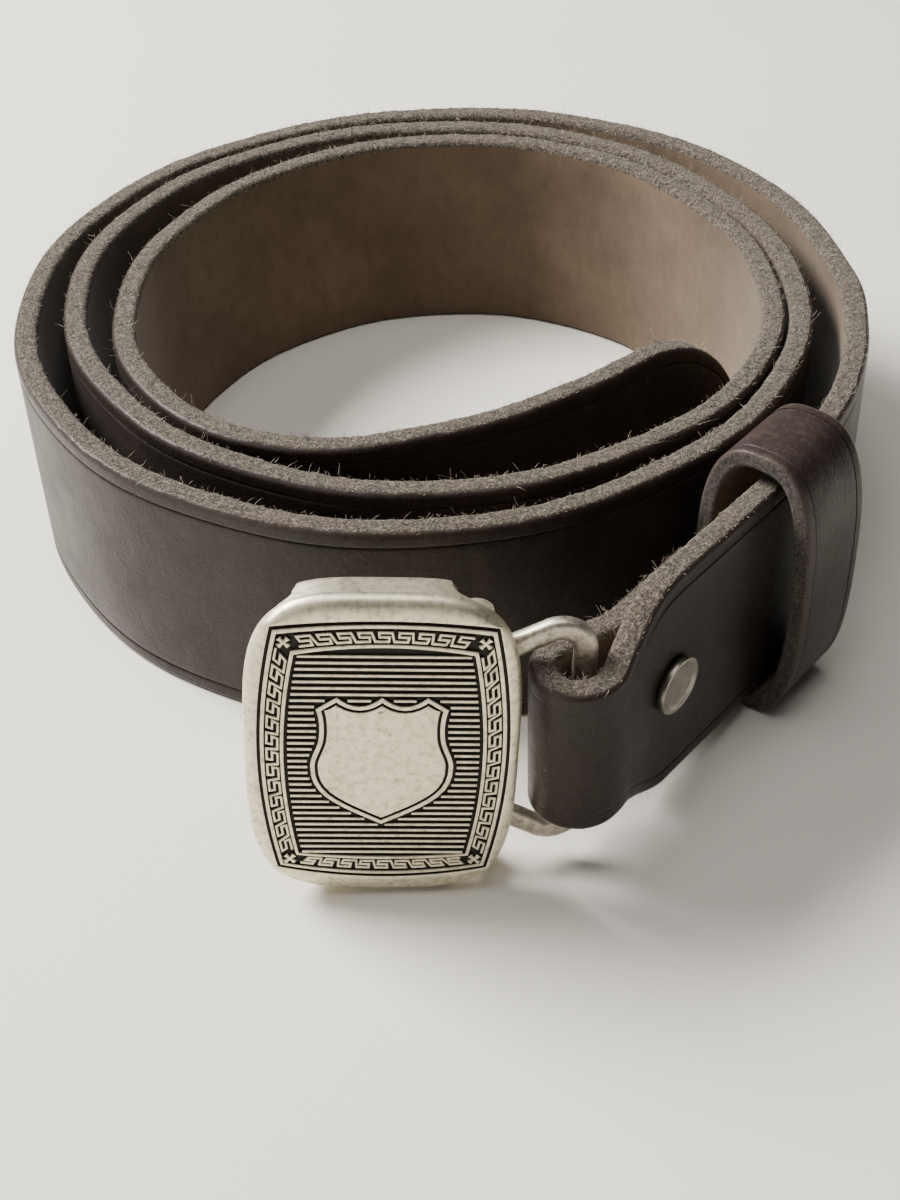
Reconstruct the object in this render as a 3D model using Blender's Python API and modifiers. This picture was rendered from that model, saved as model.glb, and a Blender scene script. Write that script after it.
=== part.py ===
"""A leather trouser belt rolled into a coil, with a plate buckle hinged to its folded end.

Millimetres in the constants, metres in the scene, +Z up. The strap stands on its lower edge, the
buckle's face looks towards -Y, and the origin is at the middle of the object's footprint.
"""

import math

import bmesh
import bpy
import numpy as np
from mathutils import Matrix, Vector

MM = 0.001

# Strap: one piece of leather, coiled from its pointed tail outwards and folded round the ring.
STRAP_WIDTH = 38.0
STRAP_THICKNESS = 3.9
STRAP_EDGE_BEVEL = 0.7
COIL_CENTRE = Vector((0.25, 16.5))
TAIL_TIP = Vector((48.3, -9.8))
TAIL_POINT_LENGTH = 22.0
TAIL_FULLNESS = 0.62
TAIL_HALF_TIP = 1.2
COIL_STEP = 30.0
# The centre line's distance from the coil's middle, every 30 degrees, clockwise from -30 degrees.
INNER_TURN = (41.0, 38.0, 41.8, 50.2, 52.9, 52.0, 51.6, 52.6, 53.6, 53.9, 53.3, 54.5)
MIDDLE_TURN = (56.1, 55.4, 56.5, 57.0, 58.5, 60.7, 61.5, 60.5, 59.3, 58.8, 57.8, 59.0)
OUTER_TURN = (60.7, 62.1, 65.2, 66.9, 68.0, 68.1, 67.3, 65.5, 65.0, 65.9, 66.8, 67.4)
LEAVING_POINTS = ((66.3, -18.0), (60.8, -37.5), (56.2, -46.8), (49.6, -57.3))

# Folded end: points are (along the strap, towards its face), measured from the screw.
SCREW_POINT = Vector((28.7, -82.2))
END_DIRECTION = math.radians(49.2)
LAYER_SPACING = 4.3
FRONT_LAYER = ((20.0, 0.0), (9.0, 0.0), (0.0, 0.0), (-5.5, 0.15), (-10.5, 0.95))
FOLD_CENTRE = (-15.6, -2.75)
FOLD_RADIUS = 4.7
FOLD_STEP = 30
BACK_LAYER = ((-10.5, -6.2), (-5.5, -4.45), (0.0, -4.3), (6.0, -4.3), (12.5, -4.4))
FOLDED_WIDTH = 25.0
FOLD_RISE = 0.3
SHOULDER_START = -16.0
SHOULDER_END = 0.0
END_LIFT = 3.6
LIFT_START = 175.0
LIFT_END = 85.0

# Tail holes, measured from the tip.
HOLE_COUNT = 5
FIRST_HOLE = 55.0
HOLE_PITCH = 18.0
HOLE_RADIUS = 2.3

# Screw post and its screw, which clamp the two layers.
SCREW_CLEARANCE_RADIUS = 2.6
SCREW_RISE = 0.5
POST_HEAD_RADIUS = 4.4
POST_HEAD_HEIGHT = 1.1
POST_RADIUS = 2.3
POST_BORE_RADIUS = 1.6
POST_SHORTFALL = 0.6
SCREW_HEAD_RADIUS = 4.4
SCREW_SHANK_RADIUS = 1.3
SCREW_SHORTFALL = 1.2
SCREW_SLOT_WIDTH = 1.0
SCREW_SLOT_DEPTH = 0.5

# Keeper: a loose loop of leather that stands on the floor round the strap.
KEEPER_ALONG = 31.0
KEEPER_ACROSS = -1.0
KEEPER_WIDTH = 15.0
KEEPER_THICKNESS = 2.6
KEEPER_HALF_HEIGHT = 23.2
KEEPER_HALF_DEPTH = 9.5
KEEPER_EDGE_BEVEL = 0.5
KEEPER_ROUNDNESS = 2.9
KEEPER_POINTS = 40
STAPLE_LENGTH = 8.0
STAPLE_WIRE_RADIUS = 0.45
STAPLE_HOLE_RADIUS = 0.8

# Buckle plate, in its own frame: X across the face, Y into the plate, Z up the face.
PLATE_CENTRE = Vector((-9.3, -82.25, 26.0))
PLATE_TILT = math.radians(3.4)
PLATE_LEAN = math.radians(3.0)
PLATE_HALF_WIDTH = 17.9
PLATE_HALF_HEIGHT = 25.4
PLATE_ROUNDNESS = 3.8
PLATE_POINTS = 72
PLATE_THICKNESS = 2.4
WALL_DEPTH = 5.7
WALL_INNER_HEIGHT = 21.8
WALL_LEFT = -11.4
WALL_RIGHT = 9.1
WALL_FLARE = 2.4
RIM_BEVEL = 1.1
PANEL_HALF_WIDTH = 12.0
PANEL_HALF_HEIGHT = 17.6
PANEL_DROP = 0.4
PANEL_SIDE_BOW = 1.5
PANEL_END_BOW = 1.2
PANEL_DEPTH = 0.5
# Right half of the blank shield in the panel, from the middle of its top to its foot.
SHIELD_TOP = ((0.0, 10.0), (1.4, 9.0), (2.9, 8.6), (4.4, 9.0), (5.8, 10.0), (8.3, 7.9))
SHIELD_SIDE = ((7.6, 5.6), (7.6, 2.9), (8.6, 0.6), (9.2, -1.6), (8.8, -4.3), (6.3, -7.8), (3.1, -10.1))
SHIELD_FOOT = ((0.0, -12.1),)

# Hinge between the plate and the ring, in the plate's frame.
PIN_ACROSS = 11.8
PIN_BEHIND = 6.9
PIN_RADIUS = 1.0
PIN_CLEARANCE = 0.1
BARREL_RADIUS = 2.1
BARREL_HALF_LENGTH = 18.0
EAR_RADIUS = 2.3
EAR_THICKNESS = 2.4
END_GAP = 0.3
RING_DROP = 1.4

# Ring: a flat bar bent to a trapezium, from the hinge barrel round the leather fold.
RING_LENGTH = 14.4
RING_BAR_WIDTH = 3.2
RING_BAR_DEPTH = 2.2
RING_HALF_HEIGHT = 17.6
RING_ROOT_HEIGHT = 12.0
RING_CORNER_RADIUS = 3.2

# Hook stud on the plate's back, which goes into a tail hole.
STUD_ACROSS = -11.5
STUD_BASE_RADIUS = 3.4
STUD_BASE_HEIGHT = 1.0
STUD_NECK_RADIUS = 1.5
STUD_HEAD_RADIUS = 2.1
STUD_LENGTH = 6.4

LEATHER = ((0.030, 0.021, 0.018), 0.0, 0.55)
KEEPER_LEATHER = ((0.036, 0.021, 0.018), 0.0, 0.5)
ANTIQUE_SILVER = ((0.56, 0.52, 0.46), 1.0, 0.42)
PEWTER = ((0.40, 0.37, 0.33), 1.0, 0.45)
STEEL = ((0.45, 0.44, 0.42), 1.0, 0.35)


def clear_scene():
    for obj in list(bpy.data.objects):
        bpy.data.objects.remove(obj, do_unlink=True)


def make_collection(name):
    collection = bpy.data.collections.new(name)
    bpy.context.scene.collection.children.link(collection)
    return collection


def make_material(name, look):
    colour, metallic, roughness = look
    material = bpy.data.materials.new(name)
    material.use_nodes = True
    shader = material.node_tree.nodes["Principled BSDF"]
    shader.inputs["Base Color"].default_value = (*colour, 1.0)
    shader.inputs["Metallic"].default_value = metallic
    shader.inputs["Roughness"].default_value = roughness
    return material


def make_object(name, bm, collection):
    """Turns a bmesh in millimetres into an object in metres."""
    bmesh.ops.scale(bm, vec=(MM, MM, MM), verts=bm.verts)
    mesh = bpy.data.meshes.new(name)
    bm.to_mesh(mesh)
    bm.free()
    obj = bpy.data.objects.new(name, mesh)
    collection.objects.link(obj)
    return obj


def make_empty(name, location, collection):
    empty = bpy.data.objects.new(name, None)
    empty.location = location * MM
    empty.empty_display_size = 0.01
    collection.objects.link(empty)
    return empty


def finish_part(obj, material, parent=None, smooth_angle=40.0):
    obj.data.materials.append(material)
    obj.data.shade_smooth()
    obj.data.set_sharp_from_angle(angle=math.radians(smooth_angle))
    obj.parent = parent


def add_bevel(obj, width, segments=1, angle=40.0):
    bevel = obj.modifiers.new("rounded_edges", "BEVEL")
    bevel.width = width * MM
    bevel.segments = segments
    bevel.limit_method = "ANGLE"
    bevel.angle_limit = math.radians(angle)


def add_boolean(obj, other, operation="DIFFERENCE"):
    boolean = obj.modifiers.new(f"{operation.lower()}_{other.name}", "BOOLEAN")
    boolean.object = other
    boolean.operation = operation
    boolean.solver = "EXACT"


def add_cylinder(bm, radius, length, matrix, segments=24):
    bmesh.ops.create_cone(
        bm,
        cap_ends=True,
        segments=segments,
        radius1=radius,
        radius2=radius,
        depth=length,
        matrix=matrix,
    )


def add_block(bm, low, high):
    middle = Matrix.Translation((Vector(low) + Vector(high)) / 2)
    size = Matrix.Diagonal((*(Vector(high) - Vector(low)), 1.0))
    bmesh.ops.create_cube(bm, size=1.0, matrix=middle @ size)


def prism(outline, front, back):
    """A flat outline across the plate, pushed from the front depth to the back depth."""
    bm = bmesh.new()
    face = bm.faces.new([bm.verts.new((x, front, z)) for x, z in outline])
    raised = bmesh.ops.extrude_face_region(bm, geom=[face])["geom"]
    moved = [item for item in raised if isinstance(item, bmesh.types.BMVert)]
    bmesh.ops.translate(bm, vec=(0, back - front, 0), verts=moved)
    bmesh.ops.recalc_face_normals(bm, faces=bm.faces)
    return bm


def along(direction, point):
    """A matrix that puts a shape's Z axis along the direction, at the point."""
    turn = Vector(direction).to_track_quat("Z", "Y").to_matrix().to_4x4()
    return Matrix.Translation(Vector(point)) @ turn


def hide_cutters(collection):
    for obj in collection.objects:
        obj.hide_render = True
        obj.display_type = "WIRE"


def smooth_step(value, start, end):
    t = min(max((value - start) / (end - start), 0.0), 1.0)
    return t * t * (3.0 - 2.0 * t)


# Paths and bands


def smooth_path(points, resolution=12):
    """The points of an automatic Bezier curve through the given plan points."""
    curve = bpy.data.curves.new("path", "CURVE")
    curve.dimensions = "3D"
    curve.resolution_u = resolution
    spline = curve.splines.new("BEZIER")
    spline.bezier_points.add(len(points) - 1)
    for bezier_point, (x, y) in zip(spline.bezier_points, points):
        bezier_point.co = (x, y, 0.0)
        bezier_point.handle_left_type = "AUTO"
        bezier_point.handle_right_type = "AUTO"
    obj = bpy.data.objects.new("path", curve)
    bpy.context.scene.collection.objects.link(obj)
    bpy.context.view_layer.update()
    evaluated = obj.evaluated_get(bpy.context.evaluated_depsgraph_get())
    mesh = evaluated.to_mesh()
    path = np.array([vertex.co[:2] for vertex in mesh.vertices])
    evaluated.to_mesh_clear()
    bpy.data.objects.remove(obj)
    bpy.data.curves.remove(curve)
    return path


def path_lengths(path):
    steps = np.hypot(*np.diff(path, axis=0).T)
    return np.concatenate([[0.0], np.cumsum(steps)])


def at_length(path, lengths, wanted):
    return np.column_stack([np.interp(wanted, lengths, path[:, axis]) for axis in (0, 1)])


def band(name, path, low, high, thickness, collection, closed=False):
    """An upright ribbon on a plan path, between a low and a high edge, thickened both ways."""
    bm = bmesh.new()
    foot = [bm.verts.new((x, y, z)) for (x, y), z in zip(path, low)]
    edges = [bm.edges.new(pair) for pair in zip(foot, foot[1:])]
    if closed:
        edges.append(bm.edges.new((foot[-1], foot[0])))
    bmesh.ops.extrude_edge_only(bm, edges=edges)
    for bottom, z in zip(foot, high):
        for edge in bottom.link_edges:
            top = edge.other_vert(bottom)
            if top not in foot:
                top.co.z = z
    obj = make_object(name, bm, collection)
    solidify = obj.modifiers.new("thickness", "SOLIDIFY")
    solidify.thickness = thickness * MM
    solidify.offset = 0.0
    solidify.use_even_offset = True
    return obj


# Strap


def end_point(u, n):
    """A plan point from its place along the folded end and towards the face."""
    across = Vector((math.sin(END_DIRECTION), -math.cos(END_DIRECTION)))
    onward = Vector((math.cos(END_DIRECTION), math.sin(END_DIRECTION)))
    return SCREW_POINT + onward * u + across * n


def strap_control_points():
    coil = []
    for index, radius in enumerate(INNER_TURN + MIDDLE_TURN + OUTER_TURN):
        angle = math.radians(-COIL_STEP * (index + 1))
        coil.append(Vector((radius * math.cos(angle), radius * math.sin(angle))))
    points = [TAIL_TIP, (TAIL_TIP + coil[0]) / 2] + coil
    points += [Vector(point) for point in LEAVING_POINTS]
    points += [end_point(u, n) for u, n in FRONT_LAYER]
    for degrees in range(90, -91, -FOLD_STEP):
        angle = math.radians(degrees)
        u = FOLD_CENTRE[0] - FOLD_RADIUS * math.cos(angle)
        points.append(end_point(u, FOLD_CENTRE[1] + FOLD_RADIUS * math.sin(angle)))
    points += [end_point(u, n) for u, n in BACK_LAYER]
    return [point + COIL_CENTRE for point in points]


def strap_stations(path, lengths):
    """Lengths along the path where the strap gets a section: closer where it bends or narrows."""
    stations = [0.0]
    heading = np.unwrap(np.arctan2(*np.gradient(path, axis=0).T[::-1]))
    total = lengths[-1]
    while stations[-1] < total:
        here = stations[-1]
        turn = abs(np.interp(here + 2.0, lengths, heading) - np.interp(here, lengths, heading)) / 2.0
        step = min(7.5, math.radians(12.0) / max(turn, 1e-6))
        if here < TAIL_POINT_LENGTH:
            step = 0.8 + 0.2 * here
        if here > total - 75.0:
            step = min(step, 2.5)
        stations.append(here + max(step, 0.8))
    stations[-1] = total
    if total - stations[-2] < 0.8:
        stations.pop(-2)
    return np.array(stations)


def narrowing(length, screw_length):
    """0 where the strap has its full width, rising through the shoulder to 1 at the fold and past it."""
    return 1.0 - smooth_step(screw_length - length, SHOULDER_START, SHOULDER_END)


def strap_half_width(length, screw_length):
    full = STRAP_WIDTH / 2
    if length < TAIL_POINT_LENGTH:
        rise = 1.0 - (1.0 - length / TAIL_POINT_LENGTH) ** 2
        return max(full * rise**TAIL_FULLNESS, TAIL_HALF_TIP)
    return full + (FOLDED_WIDTH / 2 - full) * narrowing(length, screw_length)


def make_strap(parts, cutters, material):
    path = smooth_path(strap_control_points())
    lengths = path_lengths(path)
    screw = np.array(SCREW_POINT + COIL_CENTRE)
    last_half = lengths > lengths[-1] / 2
    off_screw = np.hypot(*(path - screw).T) + 1e3 * ~last_half
    screw_length = lengths[np.argmin(off_screw)]
    stations = strap_stations(path, lengths)
    centre = at_length(path, lengths, stations)
    half = np.array([strap_half_width(station, screw_length) for station in stations])
    total = lengths[-1]
    lift = [END_LIFT * smooth_step(s, total - LIFT_START, total - LIFT_END) for s in stations]
    fold_rise = [FOLD_RISE * narrowing(station, screw_length) for station in stations]
    middle = STRAP_WIDTH / 2 + np.array(lift) + np.array(fold_rise)
    strap = band("strap", centre, middle - half, middle + half, STRAP_THICKNESS, parts)
    add_bevel(strap, STRAP_EDGE_BEVEL, angle=50.0)
    add_boolean(strap, strap_hole_cutter(path, lengths, cutters))
    finish_part(strap, material)


def strap_hole_cutter(path, lengths, cutters):
    bm = bmesh.new()
    for index in range(HOLE_COUNT):
        length = FIRST_HOLE + HOLE_PITCH * index
        before, here, after = at_length(path, lengths, [length - 1.0, length, length + 1.0])
        across = (-(after - before)[1], (after - before)[0], 0.0)
        place = along(across, (*here, STRAP_WIDTH / 2))
        add_cylinder(bm, HOLE_RADIUS, 2 * STRAP_THICKNESS, place, 16)
    add_cylinder(bm, SCREW_CLEARANCE_RADIUS, 6 * STRAP_THICKNESS, screw_matrix(), 20)
    return make_object("strap_holes", bm, cutters)


# Screw post and screw


def screw_matrix():
    """Z along the screw's axis, out of the strap's face, from the middle of the front layer."""
    face = end_point(0.0, 1.0) - end_point(0.0, 0.0)
    point = SCREW_POINT + COIL_CENTRE
    return along((*face, 0.0), (*point, STRAP_WIDTH / 2 + END_LIFT + SCREW_RISE))


def make_screw_post(parts, cutters, material):
    bm = bmesh.new()
    face = STRAP_THICKNESS / 2 + END_GAP
    place = screw_matrix()
    head = Matrix.Translation((0, 0, face + POST_HEAD_HEIGHT / 2))
    add_cylinder(bm, POST_HEAD_RADIUS, POST_HEAD_HEIGHT, place @ head, 40)
    post = make_object("screw_post", bm, parts)
    add_bevel(post, 0.35)
    back = -(LAYER_SPACING + STRAP_THICKNESS / 2 - POST_SHORTFALL)
    tube = bmesh.new()
    reach = face + POST_HEAD_HEIGHT / 2 - back
    tube_place = place @ Matrix.Translation((0, 0, back + reach / 2))
    add_cylinder(tube, POST_RADIUS, reach, tube_place, 20)
    add_boolean(post, make_object("post_tube", tube, cutters), "UNION")
    bore = bmesh.new()
    bore_place = place @ Matrix.Translation((0, 0, face - reach))
    add_cylinder(bore, POST_BORE_RADIUS, 2 * reach, bore_place, 20)
    add_boolean(post, make_object("post_bore", bore, cutters))
    finish_part(post, material)


def make_screw(parts, cutters, material):
    bm = bmesh.new()
    back = -(LAYER_SPACING + STRAP_THICKNESS / 2 + END_GAP)
    place = screw_matrix()
    head = Matrix.Translation((0, 0, back - POST_HEAD_HEIGHT / 2))
    add_cylinder(bm, SCREW_HEAD_RADIUS, POST_HEAD_HEIGHT, place @ head, 32)
    screw = make_object("screw", bm, parts)
    add_bevel(screw, 0.3)
    shank = bmesh.new()
    shank_end = STRAP_THICKNESS / 2 - SCREW_SHORTFALL
    reach = shank_end - back + POST_HEAD_HEIGHT / 2
    shank_place = place @ Matrix.Translation((0, 0, shank_end - reach / 2))
    add_cylinder(shank, SCREW_SHANK_RADIUS, reach, shank_place, 16)
    add_boolean(screw, make_object("screw_shank", shank, cutters), "UNION")
    slot = bmesh.new()
    outer = back - POST_HEAD_HEIGHT
    low = (-SCREW_HEAD_RADIUS - 1, -SCREW_SLOT_WIDTH / 2, outer - 1)
    high = (SCREW_HEAD_RADIUS + 1, SCREW_SLOT_WIDTH / 2, outer + SCREW_SLOT_DEPTH)
    add_block(slot, low, high)
    bmesh.ops.transform(slot, matrix=place, verts=slot.verts)
    add_boolean(screw, make_object("screw_slot", slot, cutters))
    finish_part(screw, material)


# Keeper


def superellipse(half_width, half_height, roundness, count):
    points = []
    for index in range(count):
        angle = 2 * math.pi * index / count
        cosine, sine = math.cos(angle), math.sin(angle)
        size = (abs(cosine) ** roundness + abs(sine) ** roundness) ** (-1 / roundness)
        points.append((half_width * size * cosine, half_height * size * sine))
    return points


def make_keeper(parts, cutters, material, steel):
    centre = end_point(KEEPER_ALONG, KEEPER_ACROSS) + COIL_CENTRE
    pivot = make_empty("keeper_pivot", Vector((*centre, KEEPER_HALF_HEIGHT)), parts)
    pivot.rotation_euler = (math.pi / 2, 0.0, END_DIRECTION - math.pi / 2)
    inset = KEEPER_THICKNESS / 2
    outline = superellipse(
        KEEPER_HALF_DEPTH - inset, KEEPER_HALF_HEIGHT - inset, KEEPER_ROUNDNESS, KEEPER_POINTS
    )
    half = [KEEPER_WIDTH / 2] * KEEPER_POINTS
    low = [-value for value in half]
    keeper = band("keeper", outline, low, half, KEEPER_THICKNESS, parts, closed=True)
    add_bevel(keeper, KEEPER_EDGE_BEVEL, angle=50.0)
    holes = bmesh.new()
    back = -KEEPER_HALF_DEPTH + inset
    for side in (-1, 1):
        leg = along((1, 0, 0), (back, side * (STAPLE_LENGTH / 2 - STAPLE_WIRE_RADIUS), 0))
        add_cylinder(holes, STAPLE_HOLE_RADIUS, 4 * KEEPER_THICKNESS, leg, 12)
    cutter = make_object("staple_holes", holes, cutters)
    cutter.parent = pivot
    add_boolean(keeper, cutter)
    finish_part(keeper, material, pivot)
    make_staple(parts, steel, pivot)


def make_staple(parts, material, pivot):
    """A wire staple that closes the keeper's ends: a bar outside, and two legs through the leather."""
    curve = bpy.data.curves.new("keeper_staple", "CURVE")
    curve.dimensions = "3D"
    curve.bevel_depth = STAPLE_WIRE_RADIUS * MM
    curve.bevel_resolution = 2
    curve.use_fill_caps = True
    spline = curve.splines.new("POLY")
    outside = -KEEPER_HALF_DEPTH - END_GAP - STAPLE_WIRE_RADIUS
    inside = -KEEPER_HALF_DEPTH + KEEPER_THICKNESS
    reach = STAPLE_LENGTH / 2 - STAPLE_WIRE_RADIUS
    corners = ((inside, -reach), (outside, -reach), (outside, reach), (inside, reach))
    spline.points.add(len(corners) - 1)
    for point, (x, y) in zip(spline.points, corners):
        point.co = (x * MM, y * MM, 0.0, 1.0)
    staple = bpy.data.objects.new("keeper_staple", curve)
    parts.objects.link(staple)
    curve.materials.append(material)
    staple.parent = pivot


# Buckle


def channel_cutter(cutters):
    """Clears the strap's channel, between the top and the bottom wall behind the plate."""
    bm = bmesh.new()
    far = 2 * PLATE_HALF_HEIGHT
    add_block(bm, (-far, PLATE_THICKNESS, -WALL_INNER_HEIGHT), (far, far, WALL_INNER_HEIGHT))
    return make_object("channel_cutter", bm, cutters)


def side_cutter(name, start, end, cutters):
    """A block beside the walls, rounded where it meets the plate so that the walls flare."""
    bm = bmesh.new()
    far = 2 * PLATE_HALF_HEIGHT
    add_block(bm, (start, PLATE_THICKNESS, -far), (end, far, far))
    cutter = make_object(name, bm, cutters)
    add_bevel(cutter, WALL_FLARE, 3)
    return cutter


def panel_outline():
    """A rectangle whose four sides bow outwards, set a little below the plate's middle."""
    points = []
    steps = 8
    for side in range(4):
        sign = 1 if side < 2 else -1
        for step in range(steps):
            t = -1 + 2 * step / steps
            swell = 1 - t * t
            if side % 2 == 0:
                x = PANEL_HALF_WIDTH + PANEL_SIDE_BOW * swell
                z = PANEL_HALF_HEIGHT * t
            else:
                x = -PANEL_HALF_WIDTH * t
                z = PANEL_HALF_HEIGHT + PANEL_END_BOW * swell
            points.append((sign * x, sign * z - PANEL_DROP))
    return points


def shield_outline():
    """A shield with a scalloped top, drawn on its right half and mirrored."""
    right = SHIELD_TOP + SHIELD_SIDE + SHIELD_FOOT
    left = [(-x, z) for x, z in reversed(right[1:-1])]
    return list(right) + left


def make_plate(parts, cutters, material, pivot):
    """The cast plate: face with a sunk panel, top and bottom walls, and two hinge ears."""
    outline = superellipse(PLATE_HALF_WIDTH, PLATE_HALF_HEIGHT, PLATE_ROUNDNESS, PLATE_POINTS)
    plate = make_object("buckle_plate", prism(outline, 0.0, WALL_DEPTH), parts)
    add_bevel(plate, RIM_BEVEL, 2, angle=60.0)
    tools = [channel_cutter(cutters)]
    far = 2 * PLATE_HALF_WIDTH
    tools.append(side_cutter("left_of_walls", -far, WALL_LEFT, cutters))
    tools.append(side_cutter("right_of_walls", WALL_RIGHT, far, cutters))
    sunk = make_object("panel_cutter", prism(panel_outline(), -1.0, PANEL_DEPTH), cutters)
    shield = make_object("shield", prism(shield_outline(), -2.0, 2.0), cutters)
    add_boolean(sunk, shield)
    tools.append(sunk)
    for tool in tools:
        add_boolean(plate, tool)
    ears = hinge_ears(cutters)
    add_boolean(plate, ears, "UNION")
    hole = bmesh.new()
    place = Matrix.Translation((PIN_ACROSS, PIN_BEHIND, 0))
    add_cylinder(hole, PIN_RADIUS + PIN_CLEARANCE, 2 * PLATE_HALF_HEIGHT, place)
    pin_hole = make_object("pin_hole", hole, cutters)
    add_boolean(plate, pin_hole)
    offset = Vector((-PIN_ACROSS, -PIN_BEHIND, RING_DROP)) * MM
    for obj in [plate, ears, shield, pin_hole] + tools:
        obj.location = offset
        obj.parent = pivot
    finish_part(plate, material, pivot, smooth_angle=30.0)


def hinge_ears(cutters):
    bm = bmesh.new()
    reach = BARREL_HALF_LENGTH + END_GAP + EAR_THICKNESS / 2
    for side in (-1, 1):
        height = side * reach - RING_DROP
        place = Matrix.Translation((PIN_ACROSS, PIN_BEHIND, height))
        add_cylinder(bm, EAR_RADIUS, EAR_THICKNESS, place)
    ears = make_object("hinge_ears", bm, cutters)
    bars = bmesh.new()
    for side in (-1, 1):
        height = side * reach - RING_DROP
        low = (PIN_ACROSS - EAR_RADIUS, PLATE_THICKNESS - 1.0, height - EAR_THICKNESS / 2)
        high = (PIN_ACROSS + EAR_RADIUS, PIN_BEHIND, height + EAR_THICKNESS / 2)
        add_block(bars, low, high)
    roots = make_object("ear_roots", bars, cutters)
    roots.parent = ears
    add_boolean(ears, roots, "UNION")
    return ears


def make_pin(parts, material, pivot):
    bm = bmesh.new()
    half = BARREL_HALF_LENGTH + END_GAP + EAR_THICKNESS + 0.3
    add_cylinder(bm, PIN_RADIUS, 2 * half, Matrix.Identity(4))
    pin = make_object("hinge_pin", bm, parts)
    add_bevel(pin, 0.2)
    finish_part(pin, material, pivot)


def make_stud(parts, material, pivot):
    """A turned stud: a flange on the plate's back, a neck, and a domed head."""
    bm = bmesh.new()
    profile = [(0.0, STUD_LENGTH)]
    for degrees in range(75, -46, -30):
        angle = math.radians(degrees)
        height = STUD_LENGTH - STUD_HEAD_RADIUS * (1 - math.sin(angle))
        profile.append((STUD_HEAD_RADIUS * math.cos(angle), height))
    profile += [
        (STUD_NECK_RADIUS, STUD_LENGTH - 1.9 * STUD_HEAD_RADIUS),
        (STUD_NECK_RADIUS, STUD_BASE_HEIGHT),
        (STUD_BASE_RADIUS - 0.4, STUD_BASE_HEIGHT),
        (STUD_BASE_RADIUS, STUD_BASE_HEIGHT - 0.4),
        (STUD_BASE_RADIUS, 0.0),
        (0.0, 0.0),
    ]
    verts = [bm.verts.new((radius, 0.0, height)) for radius, height in profile]
    for pair in zip(verts, verts[1:]):
        bm.edges.new(pair)
    stud = make_object("hook_stud", bm, parts)
    screw = stud.modifiers.new("turned", "SCREW")
    screw.steps = 24
    screw.render_steps = 24
    screw.use_merge_vertices = True
    screw.merge_threshold = 0.00001
    across = STUD_ACROSS - PIN_ACROSS
    behind = PLATE_THICKNESS + END_GAP - PIN_BEHIND
    stud.location = Vector((across, behind, RING_DROP)) * MM
    stud.rotation_euler = (-math.pi / 2, 0.0, 0.0)
    finish_part(stud, material, pivot)


def ring_path():
    """The bar's centre line in the ring's plane, from the hinge to the fold and back."""
    upper = [(-RING_LENGTH, RING_ROOT_HEIGHT)]
    middle = Vector((-RING_CORNER_RADIUS, RING_HALF_HEIGHT - RING_CORNER_RADIUS))
    for degrees in (125, 100, 75, 50, 25, 0):
        angle = math.radians(degrees)
        offset = Vector((math.cos(angle), math.sin(angle))) * RING_CORNER_RADIUS
        upper.append(tuple(middle + offset))
    lower = [(x, -z) for x, z in reversed(upper)]
    return upper + lower


def make_ring(parts, cutters, material, pivot):
    path = ring_path()
    half = [RING_BAR_DEPTH / 2] * len(path)
    ring = band("buckle_ring", path, [-value for value in half], half, RING_BAR_WIDTH, parts)
    ring.rotation_euler = (math.pi / 2, 0.0, 0.0)
    add_bevel(ring, 0.55, 2, angle=50.0)
    upright = Matrix.Rotation(math.pi / 2, 4, "X")
    place = upright.inverted() @ Matrix.Translation((-RING_LENGTH, 0, 0))
    barrel = bmesh.new()
    add_cylinder(barrel, BARREL_RADIUS, 2 * BARREL_HALF_LENGTH, place)
    bore = bmesh.new()
    add_cylinder(bore, PIN_RADIUS + PIN_CLEARANCE, 4 * BARREL_HALF_LENGTH, place)
    shapes = (("ring_barrel", barrel, "UNION"), ("ring_bore", bore, "DIFFERENCE"))
    for name, shape, operation in shapes:
        tool = make_object(name, shape, cutters)
        tool.rotation_euler = ring.rotation_euler
        tool.parent = pivot
        add_boolean(ring, tool, operation)
    finish_part(ring, material, pivot)


def make_buckle(parts, cutters, silver, steel):
    turn = Matrix.Rotation(PLATE_TILT, 3, "Y") @ Matrix.Rotation(-PLATE_LEAN, 3, "X")
    fold_axis = PLATE_CENTRE + turn @ Vector((PIN_ACROSS + RING_LENGTH, PIN_BEHIND, -RING_DROP))
    ring_pivot = make_empty("ring_pivot", fold_axis, parts)
    ring_pivot.rotation_euler = turn.to_euler()
    buckle_pivot = make_empty("buckle_pivot", Vector((-RING_LENGTH, 0.0, 0.0)), parts)
    buckle_pivot.parent = ring_pivot
    make_ring(parts, cutters, silver, ring_pivot)
    make_plate(parts, cutters, silver, buckle_pivot)
    make_pin(parts, steel, buckle_pivot)
    make_stud(parts, silver, buckle_pivot)


def main():
    clear_scene()
    parts = make_collection("rolled_belt")
    cutters = make_collection("cutters")
    leather = make_material("strap_leather", LEATHER)
    keeper_leather = make_material("keeper_leather", KEEPER_LEATHER)
    silver = make_material("antique_silver", ANTIQUE_SILVER)
    pewter = make_material("pewter", PEWTER)
    steel = make_material("steel", STEEL)
    make_strap(parts, cutters, leather)
    make_screw_post(parts, cutters, pewter)
    make_screw(parts, cutters, pewter)
    make_keeper(parts, cutters, keeper_leather, steel)
    make_buckle(parts, cutters, silver, steel)
    hide_cutters(cutters)


main()
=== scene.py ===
"""Looks for a rolled leather belt and its plate buckle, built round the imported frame.

Millimetres in the constants, metres in the scene. The strap's path and the buckle's place repeat the
design's own numbers, so that every detailed piece lies where its plain solid does.
"""

import math
import random

import bmesh
import bpy
import numpy as np
from mathutils import Matrix, Vector, geometry, noise


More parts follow.
